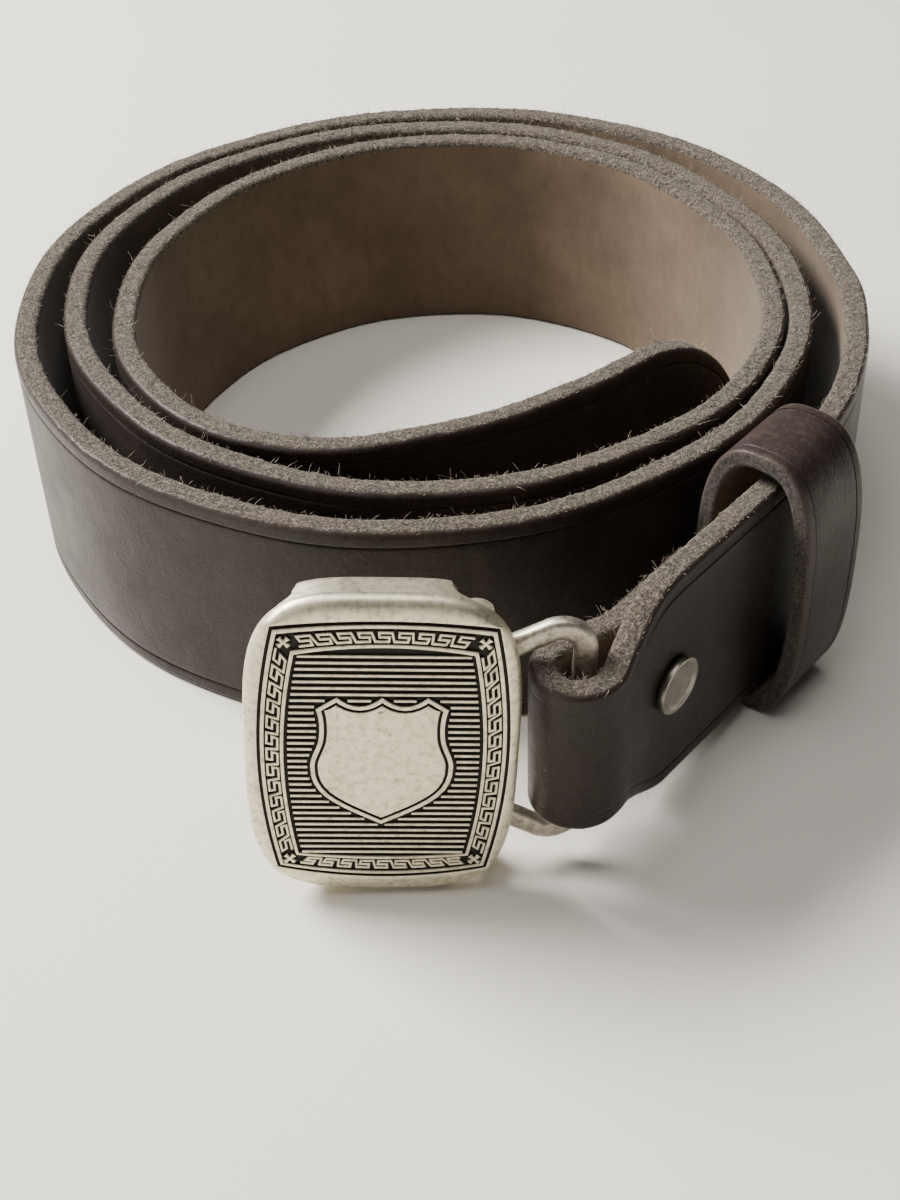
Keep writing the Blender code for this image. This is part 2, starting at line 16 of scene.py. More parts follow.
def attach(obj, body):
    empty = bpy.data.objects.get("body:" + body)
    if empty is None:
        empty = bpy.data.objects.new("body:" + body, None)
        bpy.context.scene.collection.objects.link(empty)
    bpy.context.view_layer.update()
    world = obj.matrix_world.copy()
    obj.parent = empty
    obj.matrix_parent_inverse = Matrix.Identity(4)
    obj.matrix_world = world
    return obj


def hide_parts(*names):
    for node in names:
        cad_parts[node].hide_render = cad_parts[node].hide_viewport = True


MM = 0.001

# Edges sharper than this many degrees aren't shaded smooth.
LEATHER_SMOOTH = 50.0
TURNED_SMOOTH = 40.0
METAL_SMOOTH = 35.0
SHIELD_SMOOTH = 30.0

# Strap path, as in the design.
STRAP_WIDTH = 38.0
STRAP_THICKNESS = 3.9
COIL_CENTRE = Vector((0.25, 16.5))
TAIL_TIP = Vector((48.3, -9.8))
TAIL_POINT_LENGTH = 22.0
TAIL_FULLNESS = 0.62
COIL_STEP = 30.0
INNER_TURN = (41.0, 38.0, 41.8, 50.2, 52.9, 52.0, 51.6, 52.6, 53.6, 53.9, 53.3, 54.5)
MIDDLE_TURN = (56.1, 55.4, 56.5, 57.0, 58.5, 60.7, 61.5, 60.5, 59.3, 58.8, 57.8, 59.0)
OUTER_TURN = (60.7, 62.1, 65.2, 66.9, 68.0, 68.1, 67.3, 65.5, 65.0, 65.9, 66.8, 67.4)
LEAVING_POINTS = ((66.3, -18.0), (60.8, -37.5), (56.2, -46.8), (49.6, -57.3))
SCREW_POINT = Vector((28.7, -82.2))
END_DIRECTION = math.radians(49.2)
LAYER_SPACING = 4.3
FRONT_LAYER = ((20.0, 0.0), (9.0, 0.0), (0.0, 0.0), (-5.5, 0.15), (-10.5, 0.95))
FOLD_CENTRE = (-15.6, -2.75)
FOLD_RADIUS = 4.7
FOLD_STEP = 30
BACK_LAYER = ((-10.5, -6.2), (-5.5, -4.45), (0.0, -4.3), (6.0, -4.3), (12.5, -4.4))
FOLDED_WIDTH = 25.0
FOLD_RISE = 0.3
SHOULDER_START = -16.0
SHOULDER_END = 0.0
END_LIFT = 3.6
LIFT_START = 175.0
LIFT_END = 85.0
HOLE_COUNT = 5
FIRST_HOLE = 55.0
HOLE_PITCH = 18.0
HOLE_RADIUS = 2.3
SCREW_HOLE_RADIUS = 2.6

# A leather band's section. It shrinks where the band reaches less than NARROW_HALF to each side. The crease
# is (distance from its middle, share of its depth), and the grain's finish runs over the first points of
# each cut edge.
GRAIN, EDGE, FLESH = range(3)
NARROW_HALF = 8.0
RIM_INSETS = (1.4, 1.9)
CREASE_PROFILE = ((-0.45, 0.03), (-0.2, 0.16), (0.0, 1.0), (0.2, 0.16), (0.45, 0.03), (1.4, 0.0))
CORNER_ANGLES = np.radians((22.5, 45.0, 67.5))
INNER_POINTS = 7
EDGE_POINTS = 8
FLESH_POINTS = 12
GRAIN_OVER_EDGE = 2
RIM_REACH = 5.0
FINE_NOISE = 2.3
COARSE_NOISE = 0.35
COARSE_SHARE = 0.7
SIDEWAYS_SHARE = 0.25

# The strap's own section, rows and holes.
STATION_STEP = 0.55
TIP_STATIONS = 14
EDGE_ROUNDING = 1.0
CREASE_INSET = 2.75
CREASE_DEPTH = 0.3
CREASE_LOSS = 0.8
EDGE_RAGGEDNESS = 0.17
HOLE_SEGMENTS = 40
CUTTER_LENGTH = 11.0

# Loose fibres on the cut edges.
FIBRE_SEED = 11
FIBRE_COUNT = 14000
FIBRE_RADIUS = 0.05
FIBRE_TAPER = 0.75
FIBRE_LEVELS = 4
FIBRE_SIDES = 3
FIBRE_ENDS = (4.0, 1.0)
FIBRE_SPREAD = 0.46
FIBRE_ROOT = 0.12
UPWARD_SHARE = 0.72
SHORTEST_FIBRE = 0.25
FIBRE_RATE = 2.7
FIBRE_LEAN = 1.1
FIBRE_CURL = (0.5, 0.5, 0.25)
CURL_SHARE = 0.6
LONGEST_FIBRE = 2.2
LONGEST_BY_KEEPER = 0.5
KEEPER_TRAVEL = (2.0, 47.0)
LOWEST_ROOT = 0.7
FLOOR_CLEARANCE = 0.1
REACH_PER_LENGTH = 1.6

# Screw post. Its head is drawn as (inset, rise) below its rim, (inset, drop) above it, and (radius, drop) in
# the middle.
SCREW_RISE = 0.5
POST_HEAD_RADIUS = 4.4
POST_HEAD_HEIGHT = 1.1
POST_RADIUS = 2.3
POST_BORE_RADIUS = 1.6
POST_SHORTFALL = 0.6
HEAD_UNDERSIDE = ((0.35, 0.0), (0.1, 0.1), (0.0, 0.35))
HEAD_TOP = ((0.0, 0.35), (0.1, 0.1), (0.32, 0.0), (0.6, 0.02), (0.85, 0.14), (1.05, 0.3), (1.4, 0.36))
HEAD_MIDDLE = ((1.6, 0.33), (0.02, 0.31))
TURNED_STEPS = 72
END_GAP = 0.3

# Keeper.
KEEPER_ALONG = 31.0
KEEPER_ACROSS = -1.0
KEEPER_WIDTH = 15.0
KEEPER_THICKNESS = 2.6
KEEPER_HALF_HEIGHT = 23.2
KEEPER_HALF_DEPTH = 9.5
KEEPER_ROUNDNESS = 2.9
KEEPER_STATIONS = 220
KEEPER_SEAM = 0.012
KEEPER_EDGE_ROUNDING = 0.55
KEEPER_CREASE_INSET = 1.9
KEEPER_CREASE_DEPTH = 0.22
KEEPER_RAGGEDNESS = 0.05

# Buckle, in the plate's own frame: X across the face, Y into the plate, Z up the face.
PLATE_CENTRE = Vector((-9.3, -82.25, 26.0))
PLATE_TILT = math.radians(3.4)
PLATE_LEAN = math.radians(3.0)
PLATE_HALF_WIDTH = 17.9
PLATE_HALF_HEIGHT = 25.4
PLATE_ROUNDNESS = 3.8
PLATE_THICKNESS = 2.4
WALL_DEPTH = 5.7
WALL_INNER_HEIGHT = 21.8
WALL_LEFT = -11.4
WALL_RIGHT = 9.1
WALL_FLARE = 2.4
WALL_ROOT = 0.7
WALL_ROUNDING = 0.8
WALL_CORNER = 0.9
WALL_INSET = 0.12
WALL_ROWS = 15
WALL_POINTS = 33
PIN_ACROSS = 11.8
PIN_BEHIND = 6.9
BARREL_RADIUS = 2.1
BARREL_HALF_LENGTH = 18.0
BARREL_PROFILE = ((1.2, 0.0), (1.8, 0.0), (BARREL_RADIUS, 0.3))
BARREL_STEPS = 40
EAR_RADIUS = 2.3
EAR_THICKNESS = 2.4
EAR_ROOT = 0.8
EAR_POINTS = 21
EAR_PROFILE = ((0.3, 0.0), (0.08, 0.04), (0.0, 0.13), (0.0, 0.87), (0.08, 0.96), (0.3, 1.0))
RING_DROP = 1.4
RING_LENGTH = 14.4
RING_BAR_WIDTH = 3.2
RING_BAR_DEPTH = 2.2
RING_BAR_ROUNDNESS = 3.2
RING_BAR_POINTS = 24
RING_HALF_HEIGHT = 17.6
RING_ROOT_HEIGHT = 12.0
RING_CORNER_RADIUS = 3.2
RING_CORNER_DEGREES = np.linspace(125.0, 0.0, 14)

# Relief on the plate's face. A bowed frame is half width, top, bottom, and the bows of its sides,
# top and bottom. The border runs from the inner frame, at weight 0, to the outer one, at weight 1.
INNER_FRAME = np.array((11.3, 16.95, -17.65, 1.65, 1.17, 0.6))
OUTER_FRAME = np.array((14.2, 21.38, -20.25, 2.2, 0.92, 1.85))
FRAME_SHIFT = 0.2
SIDE_STEPS = 48
CHANNEL_DEPTH = 0.42
PANEL_DEPTH = 0.5
BORDER_EDGE = 1.03
PANEL_EDGE = -0.015
PANEL_SHARES = (0.7, 0.4, 0.1)

# The plate's rows: (inset, depth) on its back, (share of the way in to the border, depth) on its rim, and
# (weight, depth, patina) across its border.
PLATE_BACK = ((0.6, 2.4), (0.15, 2.25), (0.0, 1.95))
BACK_PATINA = 0.15
WALL_PATINA = 0.08
EAR_PATINA = 0.2
BAR_PATINA = 0.1
BARREL_PATINA = 0.25
PLATE_RIM = (
    (0.0, 1.45), (0.05, 1.05), (0.14, 0.7), (0.27, 0.42), (0.44, 0.2), (0.66, 0.06), (0.85, 0.01),
    (1.0, 0.0),
)
BORDER_LINES = (
    (1.0, 0.06, 0.35), (0.985, 0.36, 1.0), (0.885, 0.36, 1.0), (0.87, 0.06, 0.35), (0.85, 0.0, 0.0),
    (0.75, 0.0, 0.0), (0.73, 0.06, 0.35), (0.715, CHANNEL_DEPTH, 1.0), (0.145, CHANNEL_DEPTH, 1.0),
    (0.13, 0.06, 0.35), (0.11, 0.0, 0.0), (0.02, 0.0, 0.0), (0.0, 0.06, 0.35),
    (PANEL_EDGE, PANEL_DEPTH, 1.0),
)

# Raised lines: (share of the half width, share of the height, patina) across one.
BAR_SECTION = (
    (1.3, 0.0, 1.0), (0.95, 0.7, 0.35), (0.6, 0.97, 0.0), (0.0, 1.0, 0.0),
    (-0.6, 0.97, 0.0), (-0.95, 0.7, 0.35), (-1.3, 0.0, 1.0),
)
BAR_SINK = 0.02
KEY_WEIGHTS = ((0.225, 0.63), (0.235, 0.57))
KEY_UNITS = (13, 9, 13, 9)
KEY_UNIT = ((0.0, 0.0), (0.72, 0.0), (0.74, 0.5), (0.24, 0.5), (0.22, 1.0), (0.87, 1.0))
KEY_END_GAPS = (0.07, 0.115)
KEY_HALF_WIDTH = 0.19
CROSS_REACH = 0.9
CROSS_HALF_WIDTHS = (0.2, 0.26, 0.42)
RIDGE_COUNT = 34
RIDGE_HALF_WIDTH = 0.19
RIDGE_END_GAP = 0.5
RIDGE_HEIGHTS = (16.6, -17.5)
RIDGE_CREST = 0.08
RIDGE_SLOPE = 0.12
RIDGE_SAMPLES = 241
RIDGE_CLEARANCE = 0.4
SHORTEST_RIDGE = 0.6
SHIELD_PEAK = (5.8, 10.0)
SHIELD_DIP = 1.5
SHIELD_FOOT = (0.0, -12.1)
SHIELD_CURVES = (
    ((8.5, 8.0), (8.1, 6.9), (7.95, 4.8), (8.15, 3.0)),
    ((8.15, 3.0), (8.3, 1.4), (9.3, 0.0), (9.35, -1.8)),
    ((9.35, -1.8), (9.4, -6.9), (6.2, -8.6), SHIELD_FOOT),
)
SHIELD_TOP_STEPS = 8
SHIELD_CURVE_POINTS = 10

# The shield's rows, from its foot below the panel: (distance in from its outline, depth, patina).
SHIELD_LINES = (
    (-0.06, PANEL_DEPTH + 0.3, 1.0), (-0.06, PANEL_DEPTH, 1.0), (0.0, 0.08, 0.35), (0.07, 0.0, 0.0),
    (0.54, 0.0, 0.0), (0.6, 0.07, 0.35), (0.64, 0.36, 1.0), (0.96, 0.36, 1.0), (1.0, 0.07, 0.35),
    (1.08, 0.0, 0.0), (1.9, -0.02, 0.0),
)

# Camera and light.
CAMERA_PLACE = Vector((COIL_CENTRE.x, COIL_CENTRE.y - 264.0, 193.0))
CAMERA_PITCH = math.radians(40.4)
CAMERA_ROLL = math.radians(2.0)
CAMERA_LENS = 54.09
CAMERA_SENSOR = 36.0
NEAREST_SEEN = 0.01
FLOOR_REACH = 3.0
WORLD_COLOUR = (0.93, 0.92, 0.89, 1.0)
WORLD_STRENGTH = 0.06

# Soft lamps, each (name, place and size in metres, watts, colour).
LAMPS = (
    ("window", (-0.7, 0.3, 0.75), (0.5, 0.5), 36.0, (1.0, 0.975, 0.93)),
    ("overhead", (0.0, -0.1, 1.1), (0.6, 0.6), 5.0, (1.0, 0.985, 0.95)),
    ("front_fill", (-0.8, -0.7, 0.35), (0.5, 0.4), 2.2, (1.0, 0.98, 0.95)),
)


# Meshes


def add_piece(name, verts, faces, body, materials, face_materials=None):
    """A mesh object in metres from points in millimetres, facing out, that rides on a body."""
    mesh = bpy.data.meshes.new(name)
    mesh.from_pydata([tuple(point) for point in np.asarray(verts) * MM], [], faces)
    for material in materials:
        mesh.materials.append(material)
    if face_materials is not None:
        mesh.polygons.foreach_set("material_index", np.asarray(face_materials, np.int32))
    bm = bmesh.new()
    bm.from_mesh(mesh)
    bmesh.ops.recalc_face_normals(bm, faces=bm.faces)
    bm.to_mesh(mesh)
    bm.free()
    obj = bpy.data.objects.new(name, mesh)
    bpy.context.scene.collection.objects.link(obj)
    mesh.shade_smooth()
    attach(obj, body)
    return obj


def set_point_values(obj, name, values):
    attribute = obj.data.attributes.new(name, "FLOAT", "POINT")
    attribute.data.foreach_set("value", np.asarray(values, np.float32))


def sharpen(obj, degrees):
    obj.data.set_sharp_from_angle(angle=math.radians(degrees))


def loft_faces(rows, columns, first=0, closed=False):
    """Quads between successive closed rows of points, and whole faces over the ends if it's open."""
    faces = []
    for row in range(rows if closed else rows - 1):
        here = first + row * columns
        there = first + ((row + 1) % rows) * columns
        for column in range(columns):
            following = (column + 1) % columns
            faces.append((here + column, here + following, there + following, there + column))
    if not closed:
        faces.append(tuple(range(first + columns - 1, first - 1, -1)))
        last = first + (rows - 1) * columns
        faces.append(tuple(range(last, last + columns)))
    return faces


class Relief:
    """Collects many small lofts into one mesh, with how dark the patina is at each point."""

    def __init__(self):
        self.verts = []
        self.faces = []
        self.patina = []

    def add(self, rows, patina):
        """Rows of (x, y, z) with the same number of points, and the patina of each row or point."""
        rows = np.asarray(rows, float)
        count, columns = rows.shape[:2]
        self.faces += loft_faces(count, columns, len(self.verts))
        self.verts += [tuple(point) for point in rows.reshape(-1, 3)]
        dark = np.asarray(patina, float)
        if dark.ndim == 1 and len(dark) == count:
            dark = np.repeat(dark[:, None], columns, axis=1)
        self.patina += list(dark.reshape(-1))

    def finish(self, name, place, body, material, smooth_angle=METAL_SMOOTH):
        world = np.array([place @ Vector(point) for point in self.verts])
        obj = add_piece(name, world, self.faces, body, [material])
        set_point_values(obj, "patina", self.patina)
        sharpen(obj, smooth_angle)
        return obj


def smooth_step(value, start, end):
    t = np.clip((value - start) / (end - start), 0.0, 1.0)
    return t * t * (3.0 - 2.0 * t)


def offset_outline(points, distance, closed=True):
    """A plan outline moved to its left by a distance, or by one distance for each point."""
    points = np.asarray(points, float)
    if closed:
        before = points - np.roll(points, 1, axis=0)
        after = np.roll(points, -1, axis=0) - points
    else:
        steps = np.diff(points, axis=0)
        before = np.vstack([steps[:1], steps])
        after = np.vstack([steps, steps[-1:]])
    before /= np.linalg.norm(before, axis=1)[:, None]
    after /= np.linalg.norm(after, axis=1)[:, None]
    left_before = np.column_stack([-before[:, 1], before[:, 0]])
    left_after = np.column_stack([-after[:, 1], after[:, 0]])
    mitre = (left_before + left_after) / (1.0 + (left_before * left_after).sum(1))[:, None]
    return points + mitre * np.reshape(distance, (-1, 1))


def superellipse(half_width, half_height, roundness, angles):
    cosine, sine = np.cos(angles), np.sin(angles)
    size = (np.abs(cosine) ** roundness + np.abs(sine) ** roundness) ** (-1 / roundness)
    return np.column_stack([half_width * size * cosine, half_height * size * sine])


# Strap


def end_point(u, n):
    """A plan point from the screw: u along the strap's end and n out of its face."""
    across = Vector((math.sin(END_DIRECTION), -math.cos(END_DIRECTION)))
    onward = Vector((math.cos(END_DIRECTION), math.sin(END_DIRECTION)))
    return SCREW_POINT + onward * u + across * n


def strap_control_points():
    coil = []
    for index, radius in enumerate(INNER_TURN + MIDDLE_TURN + OUTER_TURN):
        angle = math.radians(-COIL_STEP * (index + 1))
        coil.append(Vector((radius * math.cos(angle), radius * math.sin(angle))))
    points = [TAIL_TIP, (TAIL_TIP + coil[0]) / 2] + coil
    points += [Vector(point) for point in LEAVING_POINTS]
    points += [end_point(u, n) for u, n in FRONT_LAYER]
    for degrees in range(90, -91, -FOLD_STEP):
        angle = math.radians(degrees)
        u = FOLD_CENTRE[0] - FOLD_RADIUS * math.cos(angle)
        points.append(end_point(u, FOLD_CENTRE[1] + FOLD_RADIUS * math.sin(angle)))
    points += [end_point(u, n) for u, n in BACK_LAYER]
    return [point + COIL_CENTRE for point in points]


def smooth_path(points, resolution):
    """The points of an automatic Bezier curve through the given plan points."""
    curve = bpy.data.curves.new("path", "CURVE")
    curve.dimensions = "3D"
    curve.resolution_u = resolution
    spline = curve.splines.new("BEZIER")
    spline.bezier_points.add(len(points) - 1)
    for bezier_point, (x, y) in zip(spline.bezier_points, points):
        bezier_point.co = (x, y, 0.0)
        bezier_point.handle_left_type = "AUTO"
        bezier_point.handle_right_type = "AUTO"
    obj = bpy.data.objects.new("path", curve)
    bpy.context.scene.collection.objects.link(obj)
    bpy.context.view_layer.update()
    evaluated = obj.evaluated_get(bpy.context.evaluated_depsgraph_get())
    mesh = evaluated.to_mesh()
    path = np.array([vertex.co[:2] for vertex in mesh.vertices])
    evaluated.to_mesh_clear()
    bpy.data.objects.remove(obj)
    bpy.data.curves.remove(curve)
    return path


class StrapPath:
    """The strap's centre line by length from the tail, with its width and height at each length."""

    def __init__(self):
        self.path = smooth_path(strap_control_points(), 24)
        steps = np.hypot(*np.diff(self.path, axis=0).T)
        self.lengths = np.concatenate([[0.0], np.cumsum(steps)])
        self.total = self.lengths[-1]
        screw = np.array(SCREW_POINT + COIL_CENTRE)
        late = self.lengths > self.total / 2
        away = np.hypot(*(self.path - screw).T) + 1e3 * ~late
        self.screw_length = self.lengths[np.argmin(away)]

    def centre(self, length):
        return np.column_stack([np.interp(length, self.lengths, self.path[:, k]) for k in (0, 1)])

    def left(self, length):
        """The unit normal towards the grain side."""
        run = self.centre(np.asarray(length) + 0.4) - self.centre(np.asarray(length) - 0.4)
        run /= np.linalg.norm(run, axis=1)[:, None]
        return np.column_stack([-run[:, 1], run[:, 0]])

    def half_width(self, length):
        full = STRAP_WIDTH / 2
        near = np.clip(length / TAIL_POINT_LENGTH, 0.0, 1.0)
        point = full * (1.0 - (1.0 - near) ** 2) ** TAIL_FULLNESS
        return np.maximum(point, 0.5) + (FOLDED_WIDTH / 2 - full) * self.narrowing(length)

    def narrowing(self, length):
        """0 where the strap has its full width, rising through the shoulder to 1 at the fold."""
        return 1.0 - smooth_step(self.screw_length - length, SHOULDER_START, SHOULDER_END)

    def middle(self, length):
        lift = smooth_step(length, self.total - LIFT_START, self.total - LIFT_END)
        return STRAP_WIDTH / 2 + END_LIFT * lift + FOLD_RISE * self.narrowing(length)


def leather_section(half, thickness, rounding, crease_inset, crease_depth):
    """A leather band's section for each half width: (across, up), with the kind and rim of each point."""
    scale = np.minimum(1.0, half / NARROW_HALF)[:, None]
    offset, share = np.array(CREASE_PROFILE).T
    rim_insets = (rounding, *RIM_INSETS)
    inset = np.concatenate([rim_insets, crease_inset + offset])
    depth = np.reshape(crease_depth, (-1, 1)) * np.concatenate([np.zeros(len(rim_insets)), share])
    near = half[:, None] - inset * scale
    inner = near[:, -1:] * np.linspace(1.0, -1.0, INNER_POINTS + 2)[None, 1:-1]
    grain_up = np.concatenate([-near, -inner, near[:, ::-1]], axis=1)
    level = np.zeros((len(depth), INNER_POINTS))
    grain_across = thickness / 2 - np.concatenate([depth, level, depth[:, ::-1]], axis=1)
    cosine, sine = np.cos(CORNER_ANGLES), np.sin(CORNER_ANGLES)
    flat = thickness / 2 - rounding
    edge_across = np.concatenate(
        [flat + rounding * cosine, np.linspace(flat, -flat, EDGE_POINTS), -flat - rounding * sine]
    )
    edge_rise = np.concatenate([sine - 1, np.zeros(EDGE_POINTS), cosine - 1]) * rounding
    edge_up = half[:, None] + edge_rise * scale
    flesh_up = (half[:, None] - rounding * scale) * np.linspace(1.0, -1.0, FLESH_POINTS)[None, :]
    up = np.concatenate([grain_up, edge_up, flesh_up, -edge_up[:, ::-1]], axis=1)
    plain = np.concatenate([edge_across, np.full(FLESH_POINTS, -thickness / 2), edge_across[::-1]])
    plain = np.broadcast_to(plain, (len(depth), len(plain)))
    across = np.concatenate([grain_across, plain], axis=1)
    grain, edge = grain_up.shape[1] + GRAIN_OVER_EDGE, len(edge_across) - GRAIN_OVER_EDGE
    counts = (grain, edge, FLESH_POINTS, edge, GRAIN_OVER_EDGE)
    kind = np.repeat((GRAIN, EDGE, FLESH, EDGE, GRAIN), counts)
    rim = np.maximum(0.0, 1.0 - (half[:, None] - np.abs(up)) / RIM_REACH)
    return np.broadcast_to(across, up.shape), up, kind, rim


def band_mesh(name, centre, left, middle, section, body, materials, roughen):
    """A leather band along plan points, with its cut edges roughened."""
    across, up, kind, rim = section
    rows, columns = up.shape
    xy = centre[:, None, :] + left[:, None, :] * across[:, :, None]
    z = middle[:, None] + up
    points = np.concatenate([xy, z[:, :, None]], axis=2)
    for column in np.flatnonzero(kind == EDGE):
        for row in range(rows):
            point = Vector(points[row, column])
            fine, coarse = noise.noise(point * FINE_NOISE), noise.noise(point * COARSE_NOISE)
            push = roughen * (fine + COARSE_SHARE * coarse)
            points[row, column, 2] += push * math.copysign(1.0, up[row, column])
            points[row, column, :2] += left[row] * across[row, column] * SIDEWAYS_SHARE * push
    faces = loft_faces(rows, columns)
    face_kinds = [*np.tile(kind, rows - 1), EDGE, EDGE]
    obj = add_piece(name, points.reshape(-1, 3), faces, body, materials, face_kinds)
    set_point_values(obj, "rim", rim.reshape(-1))
    sharpen(obj, LEATHER_SMOOTH)
    return obj


def cut_holes(obj, places):
    """Cuts round holes: places are (matrix, radius), with Z along the hole."""
    bm = bmesh.new()
    for place, radius in places:
        bmesh.ops.create_cone(
            bm,
            cap_ends=True,
            segments=HOLE_SEGMENTS,
            radius1=radius * MM,
            radius2=radius * MM,
            depth=CUTTER_LENGTH * MM,
            matrix=place,
        )
    mesh = bpy.data.meshes.new("hole_cutter")
    bm.to_mesh(mesh)
    bm.free()
    mesh.materials.append(obj.data.materials[EDGE])
    cutter = bpy.data.objects.new("hole_cutter", mesh)
    bpy.context.scene.collection.objects.link(cutter)
    boolean = obj.modifiers.new("holes", "BOOLEAN")
    boolean.object = cutter
    boolean.solver = "EXACT"
    boolean.material_mode = "TRANSFER"
    bpy.context.view_layer.update()
    evaluated = obj.evaluated_get(bpy.context.evaluated_depsgraph_get())
    result = bpy.data.meshes.new_from_object(evaluated)
    obj.modifiers.clear()
    obj.data = result
    bpy.data.objects.remove(cutter)


def hole_place(x, y, z, normal):
    """A matrix in metres at a point in millimetres, with Z along a level direction."""
    turn = Vector((normal[0], normal[1], 0.0)).to_track_quat("Z", "Y").to_matrix().to_4x4()
    return Matrix.Translation(Vector((x, y, z)) * MM) @ turn


def make_strap(path, materials):
    count = int(path.total / STATION_STEP)
    run = path.total * np.linspace(0.0, 1.0, count)
    tip = np.linspace(0.0, 1.0, TIP_STATIONS)[1:] ** 2 * STATION_STEP
    run = np.concatenate([run[:1], tip, run[2:]])
    crease = CREASE_DEPTH * (1.0 - CREASE_LOSS * path.narrowing(run))
    section = leather_section(path.half_width(run), STRAP_THICKNESS, EDGE_ROUNDING, CREASE_INSET, crease)
    strap = band_mesh(
        "strap_leather",
        path.centre(run),
        path.left(run),
        path.middle(run),
        section,
        "belt",
        materials,
        EDGE_RAGGEDNESS,
    )
    for vertex in strap.data.vertices:
        vertex.co.z = max(vertex.co.z, 0.0)
    places = []
    for index in range(HOLE_COUNT):
        length = np.array([FIRST_HOLE + HOLE_PITCH * index])
        x, y = path.centre(length)[0]
        places.append((hole_place(x, y, STRAP_WIDTH / 2, path.left(length)[0]), HOLE_RADIUS))
    places.append((screw_place(-LAYER_SPACING / 2), SCREW_HOLE_RADIUS))
    cut_holes(strap, places)
    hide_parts("strap")


def make_fibres(path, material):
    """Short loose fibres that stand out from the strap's cut edges, kept off the keeper and the floor."""
    draw = random.Random(FIBRE_SEED)
    verts, faces = [], []
    for _ in range(FIBRE_COUNT):
        length = np.array([draw.uniform(FIBRE_ENDS[0], path.total - FIBRE_ENDS[1])])
        across = draw.uniform(-FIBRE_SPREAD, FIBRE_SPREAD) * STRAP_THICKNESS
        side = 1 if draw.random() < UPWARD_SHARE else -1
        x, y = path.centre(length)[0] + path.left(length)[0] * across
        rise = side * (path.half_width(length)[0] - FIBRE_ROOT)
        base = Vector((x, y, path.middle(length)[0] + rise))
        if side < 0 and (length[0] < path.total - LIFT_START or base.z < LOWEST_ROOT):
            continue
        by_keeper = KEEPER_TRAVEL[0] < path.screw_length - length[0] < KEEPER_TRAVEL[1]
        longest = LONGEST_BY_KEEPER if by_keeper else LONGEST_FIBRE
        if side < 0:
            longest = min(longest, (base.z - FLOOR_CLEARANCE) / REACH_PER_LENGTH)
        reach = min(SHORTEST_FIBRE + draw.expovariate(FIBRE_RATE), longest)
        lean = Vector((draw.gauss(0, FIBRE_LEAN), draw.gauss(0, FIBRE_LEAN), side)).normalized()
        curl = Vector([draw.gauss(0, spread) for spread in FIBRE_CURL])
        first = len(verts)
        for t in np.linspace(0.0, 1.0, FIBRE_LEVELS):
            point = base + (lean * t + curl * t * t * CURL_SHARE) * reach
            radius = FIBRE_RADIUS * (1.0 - FIBRE_TAPER * t)
            for corner in range(FIBRE_SIDES):
                angle = math.tau / FIBRE_SIDES * corner
                verts.append(point + Vector((math.cos(angle), math.sin(angle), 0.0)) * radius)
        faces += loft_faces(FIBRE_LEVELS, FIBRE_SIDES, first)
    add_piece("edge_fibres", verts, faces, "belt", [material])


# Screw post


def screw_place(back):
    """A matrix in metres with Z along the screw's axis, this far along it from the front layer."""
    face = end_point(0.0, 1.0) - end_point(0.0, 0.0)
    point = end_point(0.0, back) + COIL_CENTRE
    return hole_place(point.x, point.y, STRAP_WIDTH / 2 + END_LIFT + SCREW_RISE, face)


def turned(name, profile, place, body, material):
    """A lathe-turned solid from (radius, height) points in millimetres, placed by a matrix in metres."""
    verts = []
    for radius, height in profile:
        for angle in np.linspace(0.0, 2 * np.pi, TURNED_STEPS, endpoint=False):
            local = Vector((radius * math.cos(angle), radius * math.sin(angle), height)) * MM
            verts.append(place @ local / MM)
    obj = add_piece(name, verts, loft_faces(len(profile), TURNED_STEPS), body, [material])
    sharpen(obj, TURNED_SMOOTH)
    return obj


def make_screw_post(material):
    face = STRAP_THICKNESS / 2 + END_GAP
    top = face + POST_HEAD_HEIGHT
    back = POST_SHORTFALL - (LAYER_SPACING + STRAP_THICKNESS / 2)
    profile = [(POST_BORE_RADIUS, back), (POST_RADIUS, back), (POST_RADIUS, face)]
    profile += [(POST_HEAD_RADIUS - inset, face + rise) for inset, rise in HEAD_UNDERSIDE]
    profile += [(POST_HEAD_RADIUS - inset, top - drop) for inset, drop in HEAD_TOP]
    profile += [(radius, top - drop) for radius, drop in HEAD_MIDDLE]
    post = turned("screw_post_cap", profile, screw_place(0.0), "belt", material)
    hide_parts("screw_post")


# Keeper


